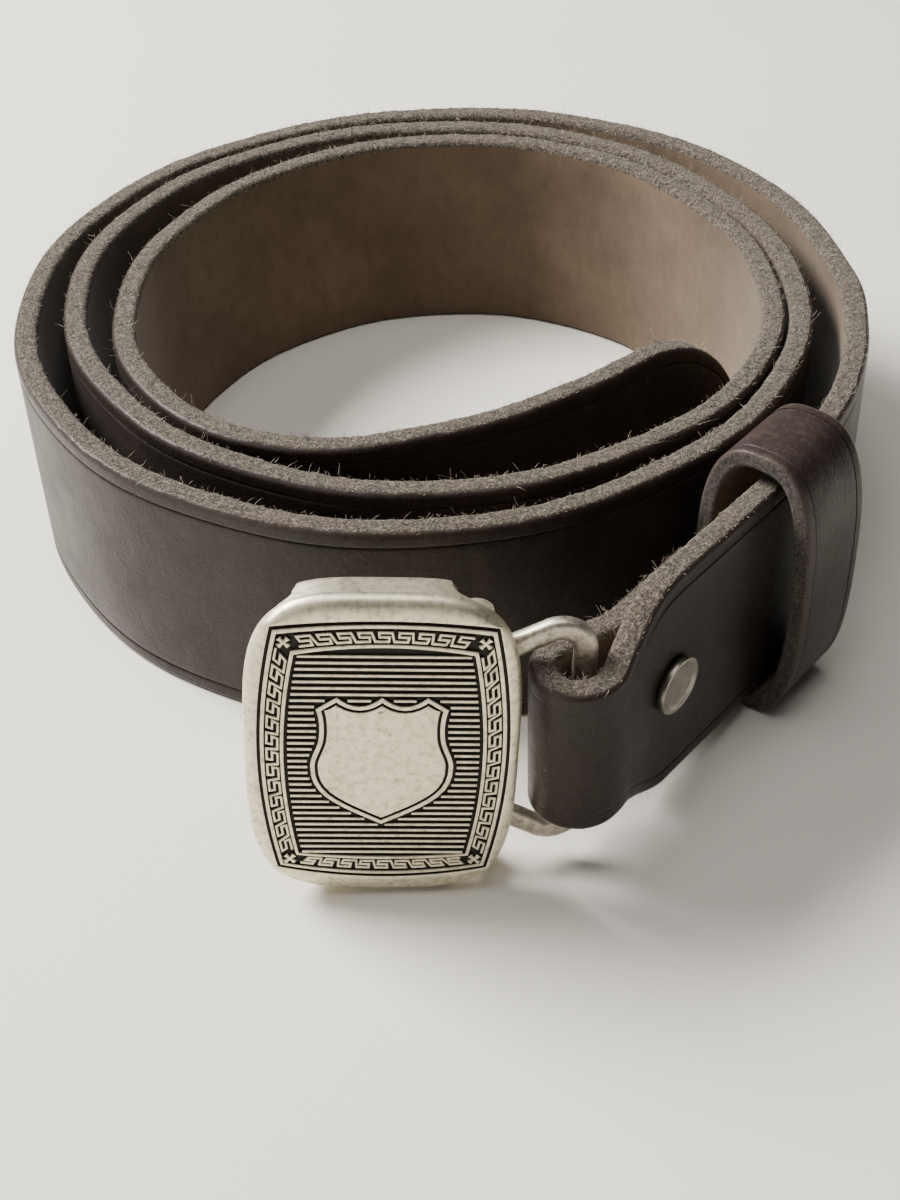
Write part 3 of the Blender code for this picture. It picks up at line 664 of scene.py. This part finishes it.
def make_keeper(materials):
    """A leather loop round the strap, its two ends meeting behind it."""
    centre = end_point(KEEPER_ALONG, KEEPER_ACROSS) + COIL_CENTRE
    sweep = np.linspace(math.pi + KEEPER_SEAM, 3 * math.pi - KEEPER_SEAM, KEEPER_STATIONS)
    inset = KEEPER_THICKNESS / 2
    loop = superellipse(KEEPER_HALF_DEPTH - inset, KEEPER_HALF_HEIGHT - inset, KEEPER_ROUNDNESS, sweep)
    tangent = np.gradient(loop, axis=0)
    tangent /= np.linalg.norm(tangent, axis=1)[:, None]
    outward = np.column_stack([tangent[:, 1], -tangent[:, 0]])
    half = np.full(KEEPER_STATIONS, KEEPER_WIDTH / 2)
    section = leather_section(
        half, KEEPER_THICKNESS, KEEPER_EDGE_ROUNDING, KEEPER_CREASE_INSET, KEEPER_CREASE_DEPTH
    )
    keeper = band_mesh(
        "keeper_loop",
        loop,
        outward,
        np.zeros(KEEPER_STATIONS),
        section,
        "keeper",
        materials,
        KEEPER_RAGGEDNESS,
    )
    out = Vector((math.sin(END_DIRECTION), -math.cos(END_DIRECTION), 0.0))
    onward = Vector((math.cos(END_DIRECTION), math.sin(END_DIRECTION), 0.0))
    turn = Matrix((out, Vector((0.0, 0.0, 1.0)), -onward)).transposed().to_4x4()
    place = Matrix.Translation(Vector((*centre, KEEPER_HALF_HEIGHT)) * MM) @ turn
    keeper.data.transform(place)
    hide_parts("keeper")


# Buckle


def plate_place():
    turn = Matrix.Rotation(PLATE_TILT, 4, "Y") @ Matrix.Rotation(-PLATE_LEAN, 4, "X")
    return Matrix.Translation(PLATE_CENTRE) @ turn


def ring_place():
    fold = Vector((PIN_ACROSS + RING_LENGTH, PIN_BEHIND, -RING_DROP))
    return plate_place() @ Matrix.Translation(fold)


def bowed_point(side, t, weight):
    """A point of the bowed border: side 0 is the right one, then top, left and bottom, t from -1 to 1."""
    half, top, bottom, side_bow, top_bow, bottom_bow = INNER_FRAME + (OUTER_FRAME - INNER_FRAME) * weight
    swell = 1.0 - t * t
    rise = (1.0 + t) / 2
    if side == 0:
        return FRAME_SHIFT + half + side_bow * swell, bottom + (top - bottom) * rise
    if side == 1:
        return FRAME_SHIFT - half * t, top + top_bow * swell
    if side == 2:
        return FRAME_SHIFT - half - side_bow * swell, top + (bottom - top) * rise
    return FRAME_SHIFT + half * t, bottom - bottom_bow * swell


def bowed_loop(weight):
    steps = np.linspace(-1.0, 1.0, SIDE_STEPS, endpoint=False)
    return np.array([bowed_point(side, t, weight) for side in range(4) for t in steps])


def plate_outline(inset=0.0):
    """The plate's outer edge, with a point beyond each point of the border."""
    loop = bowed_loop(1.0)
    scaled = np.abs(loop) / (PLATE_HALF_WIDTH - inset, PLATE_HALF_HEIGHT - inset)
    size = (scaled**PLATE_ROUNDNESS).sum(1) ** (-1 / PLATE_ROUNDNESS)
    return loop * size[:, None]


def at_depth(loop, depth):
    return np.column_stack([loop[:, 0], np.full(len(loop), depth), loop[:, 1]])


def make_plate_body(relief):
    """The cast plate from its back, round its convex rim, and down into its border and panel."""
    outer, border, panel = plate_outline(), bowed_loop(BORDER_EDGE), bowed_loop(PANEL_EDGE)
    lines = [(plate_outline(inset), depth, BACK_PATINA) for inset, depth in PLATE_BACK]
    lines += [(outer + (border - outer) * inward, depth, 0.0) for inward, depth in PLATE_RIM]
    lines += [(bowed_loop(weight), depth, dark) for weight, depth, dark in BORDER_LINES]
    lines += [(panel * share, PANEL_DEPTH, 1.0) for share in PANEL_SHARES]
    relief.add([at_depth(loop, depth) for loop, depth, _ in lines], [dark for _, _, dark in lines])


def raised_line(relief, points, half_width, floor, crest=0.0, slope=0.0):
    """A low rounded bar along plan points on the face, dark at its foot, its ends sloping outwards."""
    points = np.asarray(points, float)
    half = np.broadcast_to(half_width, len(points)).astype(float)
    start, end = points[1] - points[0], points[-1] - points[-2]
    columns = []
    for share, rise, _ in BAR_SECTION:
        edge = offset_outline(points, half * share, closed=False)
        edge[0] -= start / np.linalg.norm(start) * slope * (1 - rise)
        edge[-1] += end / np.linalg.norm(end) * slope * (1 - rise)
        columns.append(at_depth(edge, floor + (crest - floor) * rise))
    rows = np.stack(columns, axis=1)
    relief.add(rows, np.broadcast_to([dark for _, _, dark in BAR_SECTION], rows.shape[:2]))


def make_key_border(relief):
    """The running key in the border, unit by unit, and a small cross in each corner."""
    for side, units in enumerate(KEY_UNITS):
        line = []
        low, high = KEY_WEIGHTS[side % 2]
        margin = KEY_END_GAPS[side % 2]
        for unit in range(units):
            for along, across in KEY_UNIT:
                t = (1.0 - margin) * (1.0 - 2.0 * (unit + along) / units)
                line.append(bowed_point(side, t, low + (high - low) * across))
        raised_line(relief, line, KEY_HALF_WIDTH, CHANNEL_DEPTH + BAR_SINK)
        make_corner_cross(relief, side)


def make_corner_cross(relief, side):
    middle = np.array(bowed_point(side, 1.0, sum(KEY_WEIGHTS[0]) / 2))
    for degrees in (45, 135, 225, 315):
        angle = math.radians(degrees)
        tip = middle + CROSS_REACH * np.array((math.cos(angle), math.sin(angle)))
        arm = [middle, (middle + tip) / 2, tip]
        raised_line(relief, arm, CROSS_HALF_WIDTHS, CHANNEL_DEPTH + BAR_SINK)


def shield_outline():
    """A shield with two scallops along its top, as a closed outline."""
    peak_x, peak_z = SHIELD_PEAK
    right = []
    for t in np.linspace(0.0, 1.0, SHIELD_TOP_STEPS + 1):
        right.append((peak_x * t, peak_z - SHIELD_DIP * (1 - (2 * t - 1) ** 2)))
    for start, first, second, end in SHIELD_CURVES:
        curve = geometry.interpolate_bezier(start, first, second, end, SHIELD_CURVE_POINTS)
        right += [tuple(point[:2]) for point in curve[:-1]]
    right.append(SHIELD_FOOT)
    left = [(-x, z) for x, z in reversed(right[1:-1])]
    return np.array(right + left)


def make_shield(relief, outline):
    """A blank shield: a raised outline, a dark groove inside it, and a flat field."""
    rows = [at_depth(offset_outline(outline, -inward), depth) for inward, depth, _ in SHIELD_LINES]
    relief.add(rows, [dark for _, _, dark in SHIELD_LINES])


def distance_to(points, outline):
    """How far each point is outside an outline, and 0 inside it."""
    ends = np.roll(outline, -1, axis=0)
    run = ends - outline
    away = points[:, None, :] - outline[None]
    t = np.clip((away * run).sum(2) / (run**2).sum(1), 0, 1)
    distance = np.linalg.norm(away - t[:, :, None] * run, axis=2).min(1)
    height = points[:, None, 1]
    rising = (outline[:, 1] > height) != (ends[:, 1] > height)
    slope = (height - outline[:, 1]) / np.where(run[:, 1] == 0, 1e-9, run[:, 1])
    beyond = points[:, None, 0] < outline[:, 0] + slope * run[:, 0]
    inside = (rising & beyond).sum(1) % 2 == 1
    return np.where(inside, 0.0, distance)


def make_ridges(relief, outline):
    """Level ridges across the panel, which stop short of the shield."""
    half, top, bottom, side_bow = INNER_FRAME[:4]
    for height in np.linspace(*RIDGE_HEIGHTS, RIDGE_COUNT):
        t = 2 * (height - bottom) / (top - bottom) - 1
        reach = half + side_bow * (1 - t * t) - RIDGE_END_GAP
        across = FRAME_SHIFT + np.linspace(-reach, reach, RIDGE_SAMPLES)
        places = np.column_stack([across, np.full(RIDGE_SAMPLES, height)])
        clear = distance_to(places, outline) > RIDGE_CLEARANCE
        changes = np.flatnonzero(np.diff(np.concatenate([[False], clear, [False]])))
        for first, last in zip(changes[::2], changes[1::2] - 1):
            if across[last] - across[first] > SHORTEST_RIDGE:
                ends = places[[first, last]]
                floor = PANEL_DEPTH + BAR_SINK
                raised_line(relief, ends, RIDGE_HALF_WIDTH, floor, RIDGE_CREST, RIDGE_SLOPE)


def make_wall(relief, sign):
    """The wall behind the plate's top or bottom edge, flaring where it leaves the plate."""
    rows = []
    for depth in np.linspace(PLATE_THICKNESS - WALL_ROOT, WALL_DEPTH, WALL_ROWS):
        round_off = max(0.0, depth - (WALL_DEPTH - WALL_ROUNDING)) / WALL_ROUNDING
        pull = WALL_ROUNDING * (1 - math.sqrt(max(0.0, 1 - round_off**2)))
        past = min(max((depth - PLATE_THICKNESS) / WALL_FLARE, 0.0), 1.0)
        flare = WALL_FLARE * (1 - math.sqrt(1 - (1 - past) ** 2))
        left, right = WALL_LEFT - flare + pull, WALL_RIGHT + flare - pull
        across = np.linspace(left, right, WALL_POINTS)
        share = (1 - (np.abs(across) / PLATE_HALF_WIDTH) ** PLATE_ROUNDNESS) ** (1 / PLATE_ROUNDNESS)
        corner = np.clip(1 - np.minimum(across - left, right - across) / WALL_CORNER, 0, 1)
        top = PLATE_HALF_HEIGHT * share - pull - WALL_INSET - WALL_CORNER * (1 - np.sqrt(1 - corner**2))
        bottom = np.full(WALL_POINTS, WALL_INNER_HEIGHT + pull)
        loop = np.concatenate([np.column_stack([across, top]), np.column_stack([across, bottom])[::-1]])
        rows.append(at_depth(loop * (1, sign), depth))
    relief.add(rows, np.full(len(rows), WALL_PATINA))


def make_ears(relief):
    """Two lugs on the plate's back that hold the hinge pin's ends."""
    arc = np.radians(np.linspace(0.0, 180.0, EAR_POINTS))
    round_end = (PIN_ACROSS, PIN_BEHIND) + EAR_RADIUS * np.column_stack([np.cos(arc), np.sin(arc)])
    root = PLATE_THICKNESS - EAR_ROOT
    outline = np.vstack([round_end, (PIN_ACROSS - EAR_RADIUS, root), (PIN_ACROSS + EAR_RADIUS, root)])
    reach = BARREL_HALF_LENGTH + END_GAP
    for side in (-1, 1):
        rows = []
        for inward, share in EAR_PROFILE:
            loop = offset_outline(outline, inward)
            height = side * (reach + EAR_THICKNESS * share) - RING_DROP
            rows.append(np.column_stack([loop, np.full(len(loop), height)]))
        relief.add(rows, np.full(len(rows), EAR_PATINA))


def make_plate(silver):
    place = plate_place()
    outline = shield_outline()
    body = Relief()
    make_plate_body(body)
    for sign in (-1, 1):
        make_wall(body, sign)
    make_ears(body)
    plate = body.finish("buckle_plate_cast", place, "buckle", silver)
    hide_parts("buckle_plate")
    border = Relief()
    make_key_border(border)
    border.finish("plate_key_border", place, "buckle", silver)
    panel = Relief()
    make_ridges(panel, outline)
    panel.finish("plate_ridges", place, "buckle", silver)
    shield = Relief()
    make_shield(shield, outline)
    shield.finish("plate_shield", place, "buckle", silver, SHIELD_SMOOTH)


def ring_centre_line():
    """The bar's centre line in the ring's plane, from the barrel round the fold and back."""
    upper = [(-RING_LENGTH, RING_ROOT_HEIGHT)]
    middle = np.array((-RING_CORNER_RADIUS, RING_HALF_HEIGHT - RING_CORNER_RADIUS))
    for angle in np.radians(RING_CORNER_DEGREES):
        upper.append(middle + RING_CORNER_RADIUS * np.array((math.cos(angle), math.sin(angle))))
    lower = [(x, -z) for x, z in reversed(upper)]
    return np.array([tuple(point) for point in upper + lower])


def make_ring(silver):
    relief = Relief()
    line = ring_centre_line()
    turn = np.linspace(0, 2 * np.pi, RING_BAR_POINTS, endpoint=False)
    corners = superellipse(RING_BAR_WIDTH / 2, RING_BAR_DEPTH / 2, RING_BAR_ROUNDNESS, turn)
    sides = [at_depth(offset_outline(line, width, closed=False), depth) for width, depth in corners]
    relief.add(np.stack(sides, axis=1), np.full(len(line), BAR_PATINA))
    turn = np.linspace(0, 2 * np.pi, BARREL_STEPS, endpoint=False)
    circle = np.column_stack([np.cos(turn), np.sin(turn)])
    profile = [(radius, inset - BARREL_HALF_LENGTH) for radius, inset in BARREL_PROFILE]
    profile += [(radius, -height) for radius, height in reversed(profile)]
    barrel = []
    for radius, height in profile:
        loop = circle * radius - (RING_LENGTH, 0.0)
        barrel.append(np.column_stack([loop, np.full(BARREL_STEPS, height)]))
    relief.add(barrel, np.full(len(barrel), BARREL_PATINA))
    ring = relief.finish("buckle_ring_cast", ring_place(), "ring", silver)
    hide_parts("buckle_ring")


# Materials


class Nodes:
    """A material's node tree, with short ways to add and join nodes."""

    SHADER_INPUTS = {
        "colour": "Base Color",
        "metallic": "Metallic",
        "roughness": "Roughness",
        "specular": "Specular IOR Level",
        "sheen": "Sheen Weight",
        "sheen_roughness": "Sheen Roughness",
    }

    def __init__(self, name):
        self.material = bpy.data.materials.new(name)
        self.material.use_nodes = True
        self.tree = self.material.node_tree
        self.shader = self.tree.nodes["Principled BSDF"]

    def join(self, socket, value):
        """Links an output to a socket, or sets a constant on it."""
        if isinstance(value, bpy.types.NodeSocket):
            self.tree.links.new(value, socket)
        else:
            socket.default_value = value

    def add(self, kind, inputs=None, **settings):
        node = self.tree.nodes.new(kind)
        for key, value in settings.items():
            setattr(node, key, value)
        for key, value in (inputs or {}).items():
            self.join(node.inputs[key], value)
        return node

    def place(self):
        """The point on the object, in metres."""
        return self.add("ShaderNodeTexCoord").outputs["Object"]

    def noise(self, vector, scale, detail=4.0, roughness=0.55, distortion=0.0):
        settings = {"Vector": vector, "Scale": scale, "Detail": detail, "Roughness": roughness}
        return self.add("ShaderNodeTexNoise", {**settings, "Distortion": distortion}).outputs[0]

    def cells(self, vector, scale):
        return self.add("ShaderNodeTexVoronoi", {"Vector": vector, "Scale": scale}).outputs["Distance"]

    def stretched(self, vector, scale):
        return self.add("ShaderNodeMapping", {"Vector": vector, "Scale": scale}).outputs["Vector"]

    def ramp(self, value, *stops):
        """Maps a value to colours or greys: stops are (place, colour)."""
        node = self.add("ShaderNodeValToRGB", {"Fac": value})
        elements = node.color_ramp.elements
        while len(elements) < len(stops):
            elements.new(0.5)
        for element, (place, colour) in zip(elements, stops):
            element.position = place
            element.color = (*(colour if isinstance(colour, tuple) else (colour,) * 3), 1.0)
        return node.outputs["Color"]

    def mix(self, factor, first, second):
        """Mixes two colours, each an output or three numbers."""
        node = self.add("ShaderNodeMix", data_type="RGBA")
        for name, value in (("Factor", factor), ("A", first), ("B", second)):
            socket = next(s for s in node.inputs if s.name == name and s.enabled)
            self.join(socket, (*value, 1.0) if isinstance(value, tuple) else value)
        return next(s for s in node.outputs if s.enabled)

    def math(self, operation, first, second):
        node = self.add("ShaderNodeMath", operation=operation)
        for socket, value in zip(node.inputs, (first, second)):
            self.join(socket, value)
        return node.outputs[0]

    def attribute(self, name):
        return self.add("ShaderNodeAttribute", attribute_name=name).outputs["Fac"]

    def bump(self, *layers):
        """Stacks bumps: each layer is (height, strength, distance in millimetres)."""
        normal = None
        for height, strength, distance in layers:
            inputs = {"Height": height, "Strength": strength, "Distance": distance * MM}
            if normal is not None:
                inputs["Normal"] = normal
            normal = self.add("ShaderNodeBump", inputs).outputs["Normal"]
        self.tree.links.new(normal, self.shader.inputs["Normal"])

    def set(self, **inputs):
        for key, value in inputs.items():
            self.join(self.shader.inputs[self.SHADER_INPUTS[key]], value)


def grain_leather(name, dark, mid, worn, gloss):
    """Waxed, fine-grained leather: mottled, paler along its creased edges. Gloss is its least roughness."""
    nodes = Nodes(name)
    place = nodes.place()
    blotches = nodes.noise(place, 38.0, 5.0, 0.6)
    streaks = nodes.noise(nodes.stretched(place, (1.0, 1.0, 0.45)), 330.0, 4.0, 0.65)
    colour = nodes.mix(nodes.ramp(blotches, (0.32, 0.0), (0.7, 1.0)), dark, mid)
    colour = nodes.mix(nodes.ramp(streaks, (0.5, 0.0), (0.8, 0.22)), colour, worn)
    speckle = nodes.noise(place, 1300.0, 4.0, 0.7)
    colour = nodes.mix(nodes.ramp(speckle, (0.5, 0.0), (0.75, 0.3)), colour, worn)
    rim = nodes.ramp(nodes.attribute("rim"), (0.8, 0.0), (1.0, 0.4))
    colour = nodes.mix(rim, colour, worn)
    grain = nodes.cells(place, 2100.0)
    pores = nodes.noise(place, 1500.0, 3.0, 0.6)
    soft = nodes.noise(place, 170.0, 3.0, 0.5)
    shine = nodes.ramp(nodes.noise(place, 90.0, 5.0, 0.65), (0.3, gloss), (0.75, gloss + 0.17))
    nodes.set(colour=colour, roughness=shine, specular=0.2, sheen=0.015, sheen_roughness=0.5)
    nodes.bump((soft, 0.35, 0.35), (grain, 0.45, 0.08), (pores, 0.5, 0.07))
    return nodes.material


def raw_edge(name, pale, mid, dark):
    """A cut leather edge: speckled, dry and pitted."""
    nodes = Nodes(name)
    place = nodes.place()
    fine = nodes.noise(place, 2600.0, 5.0, 0.8)
    pits = nodes.noise(place, 1400.0, 5.0, 0.75, 0.8)
    broad = nodes.noise(place, 60.0, 4.0, 0.6)
    colour = nodes.ramp(fine, (0.38, dark), (0.5, mid), (0.64, pale))
    colour = nodes.mix(nodes.ramp(pits, (0.38, 0.9), (0.54, 0.0)), colour, dark)
    colour = nodes.mix(nodes.ramp(broad, (0.4, 0.0), (0.8, 0.3)), colour, mid)
    nodes.set(colour=colour, roughness=0.92, specular=0.25, sheen=0.12, sheen_roughness=0.6)
    nodes.bump((pits, 0.8, 0.45), (fine, 0.8, 0.16))
    return nodes.material


def suede(name, pale, mid, dark):
    """The strap's flesh side: brushed fibres and soft cloudy shades."""
    nodes = Nodes(name)
    place = nodes.place()
    clouds = nodes.noise(place, 45.0, 5.0, 0.6)
    nap = nodes.noise(place, 1300.0, 5.0, 0.7)
    marks = nodes.noise(nodes.stretched(place, (1.0, 1.0, 0.5)), 480.0, 5.0, 0.7)
    colour = nodes.ramp(clouds, (0.3, mid), (0.72, pale))
    colour = nodes.mix(nodes.ramp(marks, (0.45, 0.0), (0.8, 0.35)), colour, dark)
    nodes.set(colour=colour, roughness=0.86, specular=0.2, sheen=0.2, sheen_roughness=0.45)
    nodes.bump((marks, 0.5, 0.12), (nap, 0.65, 0.09))
    return nodes.material


def antique_metal(name, bright, mid, dull, patina_colour):
    """Plated casting with worn high parts and black patina in its recesses."""
    nodes = Nodes(name)
    place = nodes.place()
    mottle = nodes.noise(place, 900.0, 6.0, 0.7)
    clouds = nodes.noise(place, 110.0, 5.0, 0.65)
    specks = nodes.noise(place, 2300.0, 3.0, 0.6)
    colour = nodes.ramp(mottle, (0.32, dull), (0.48, mid), (0.66, bright))
    colour = nodes.mix(nodes.ramp(clouds, (0.4, 0.0), (0.75, 0.45)), colour, mid)
    colour = nodes.mix(nodes.ramp(specks, (0.24, 0.8), (0.34, 0.0)), colour, dull)
    patina = nodes.attribute("patina")
    ragged = nodes.math("ADD", patina, nodes.math("MULTIPLY", nodes.math("SUBTRACT", mottle, 0.5), 0.35))
    dark = nodes.ramp(ragged, (0.25, 0.0), (0.62, 1.0))
    colour = nodes.mix(dark, colour, patina_colour)
    roughness = nodes.mix(dark, nodes.ramp(clouds, (0.3, 0.4), (0.7, 0.52)), (0.75, 0.75, 0.75))
    metal = nodes.mix(dark, (0.88, 0.88, 0.88), (0.2, 0.2, 0.2))
    nodes.set(colour=colour, metallic=metal, roughness=roughness)
    nodes.bump((clouds, 0.3, 0.12), (mottle, 0.4, 0.035), (specks, 0.3, 0.02))
    return nodes.material


def plain_metal(name, bright, dull, roughness):
    nodes = Nodes(name)
    place = nodes.place()
    mottle = nodes.noise(place, 700.0, 6.0, 0.7)
    scratches = nodes.noise(nodes.stretched(place, (1.0, 1.0, 9.0)), 260.0, 4.0, 0.7)
    colour = nodes.ramp(mottle, (0.3, dull), (0.68, bright))
    shine = nodes.ramp(scratches, (0.3, roughness - 0.08), (0.75, roughness + 0.14))
    nodes.set(colour=colour, metallic=0.95, roughness=shine)
    nodes.bump((mottle, 0.3, 0.03), (scratches, 0.2, 0.03))
    return nodes.material


def fibre_material():
    nodes = Nodes("loose_fibres")
    tone = nodes.noise(nodes.place(), 500.0, 3.0, 0.6)
    colour = nodes.ramp(tone, (0.35, (0.12, 0.095, 0.072)), (0.62, (0.56, 0.48, 0.385)))
    nodes.set(colour=colour, roughness=0.8, specular=0.3)
    return nodes.material


def floor_material():
    nodes = Nodes("pale_floor")
    tone = nodes.noise(nodes.place(), 6.0, 4.0, 0.5)
    colour = nodes.ramp(tone, (0.3, (0.81, 0.78, 0.71)), (0.7, (0.85, 0.82, 0.755)))
    nodes.set(colour=colour, roughness=0.6, specular=0.3)
    return nodes.material


def finish_cad_nodes(nodes, silver, pewter, steel):
    """Gives the small turned and bent pieces that stay as they are their detailed materials."""
    looks = {"hook_stud": silver, "hinge_pin": steel, "keeper_staple": steel, "screw": pewter}
    for name, material in looks.items():
        nodes[name].data.materials.clear()
        nodes[name].data.materials.append(material)
        nodes[name].data.shade_smooth()
        sharpen(nodes[name], METAL_SMOOTH)


# Surroundings


def make_floor():
    mesh = bpy.data.meshes.new("floor")
    corners = [(FLOOR_REACH * x, FLOOR_REACH * y, 0) for x, y in ((-1, -1), (1, -1), (1, 1), (-1, 1))]
    mesh.from_pydata(corners, [], [(0, 1, 2, 3)])
    mesh.materials.append(floor_material())
    floor = bpy.data.objects.new("floor", mesh)
    bpy.context.scene.collection.objects.link(floor)


def make_light(name, place, size, power, colour):
    light = bpy.data.lights.new(name, "AREA")
    light.shape = "RECTANGLE"
    light.size, light.size_y = size
    light.energy = power
    light.color = colour
    obj = bpy.data.objects.new(name, light)
    obj.location = place
    obj.rotation_euler = (-Vector(place)).to_track_quat("-Z", "Y").to_euler()
    bpy.context.scene.collection.objects.link(obj)


def make_studio():
    for lamp in LAMPS:
        make_light(*lamp)
    world = bpy.data.worlds.new("studio")
    world.use_nodes = True
    background = world.node_tree.nodes["Background"]
    background.inputs["Color"].default_value = WORLD_COLOUR
    background.inputs["Strength"].default_value = WORLD_STRENGTH
    bpy.context.scene.world = world


def make_camera():
    pitch, roll = CAMERA_PITCH, CAMERA_ROLL
    level_up = Vector((0.0, math.sin(pitch), math.cos(pitch)))
    right = Vector((math.cos(roll), 0.0, 0.0)) - math.sin(roll) * level_up
    up = Vector((math.sin(roll), 0.0, 0.0)) + math.cos(roll) * level_up
    back = Vector((0.0, -math.cos(pitch), math.sin(pitch)))
    camera = bpy.data.cameras.new("camera")
    camera.lens = CAMERA_LENS
    camera.sensor_width = CAMERA_SENSOR
    camera.clip_start = NEAREST_SEEN
    obj = bpy.data.objects.new("camera", camera)
    turn = Matrix((right, up, back)).transposed().to_4x4()
    obj.matrix_world = Matrix.Translation(CAMERA_PLACE * MM) @ turn
    bpy.context.scene.collection.objects.link(obj)
    bpy.context.scene.camera = obj


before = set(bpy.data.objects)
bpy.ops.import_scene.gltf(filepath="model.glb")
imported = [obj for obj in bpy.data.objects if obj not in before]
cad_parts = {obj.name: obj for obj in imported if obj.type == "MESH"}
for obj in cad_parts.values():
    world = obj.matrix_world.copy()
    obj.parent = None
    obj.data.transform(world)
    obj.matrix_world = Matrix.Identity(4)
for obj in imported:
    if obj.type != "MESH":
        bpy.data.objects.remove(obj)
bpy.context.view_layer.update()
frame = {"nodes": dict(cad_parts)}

strap_materials = [
    grain_leather(
        "strap_grain", (0.01, 0.0065, 0.0055), (0.024, 0.0155, 0.013), (0.07, 0.052, 0.044), 0.35
    ),
    raw_edge("strap_raw_edge", (0.3, 0.25, 0.195), (0.105, 0.083, 0.062), (0.012, 0.0085, 0.0065)),
    suede("strap_flesh", (0.155, 0.108, 0.071), (0.092, 0.062, 0.04), (0.042, 0.027, 0.018)),
]
keeper_materials = [
    grain_leather(
        "keeper_grain", (0.015, 0.0095, 0.0085), (0.034, 0.023, 0.0205), (0.12, 0.09, 0.077), 0.34
    ),
    raw_edge("keeper_raw_edge", (0.17, 0.138, 0.11), (0.065, 0.05, 0.039), (0.012, 0.008, 0.006)),
    strap_materials[2],
]
silver = antique_metal(
    "antique_silver_plate",
    (0.85, 0.785, 0.61),
    (0.69, 0.63, 0.48),
    (0.38, 0.33, 0.24),
    (0.01, 0.0075, 0.0055),
)
worn_silver = antique_metal(
    "worn_ring_metal", (0.66, 0.61, 0.53), (0.47, 0.425, 0.36), (0.2, 0.17, 0.14), (0.012, 0.009, 0.007)
)
pewter = plain_metal("dull_pewter", (0.36, 0.335, 0.29), (0.2, 0.18, 0.15), 0.38)
steel = plain_metal("drawn_steel", (0.5, 0.49, 0.46), (0.3, 0.28, 0.26), 0.35)

strap_path = StrapPath()
make_strap(strap_path, strap_materials)
make_fibres(strap_path, fibre_material())
make_screw_post(pewter)
make_keeper(keeper_materials)
make_plate(silver)
make_ring(worn_silver)
finish_cad_nodes(frame["nodes"], silver, pewter, steel)
make_floor()
make_studio()
make_camera()
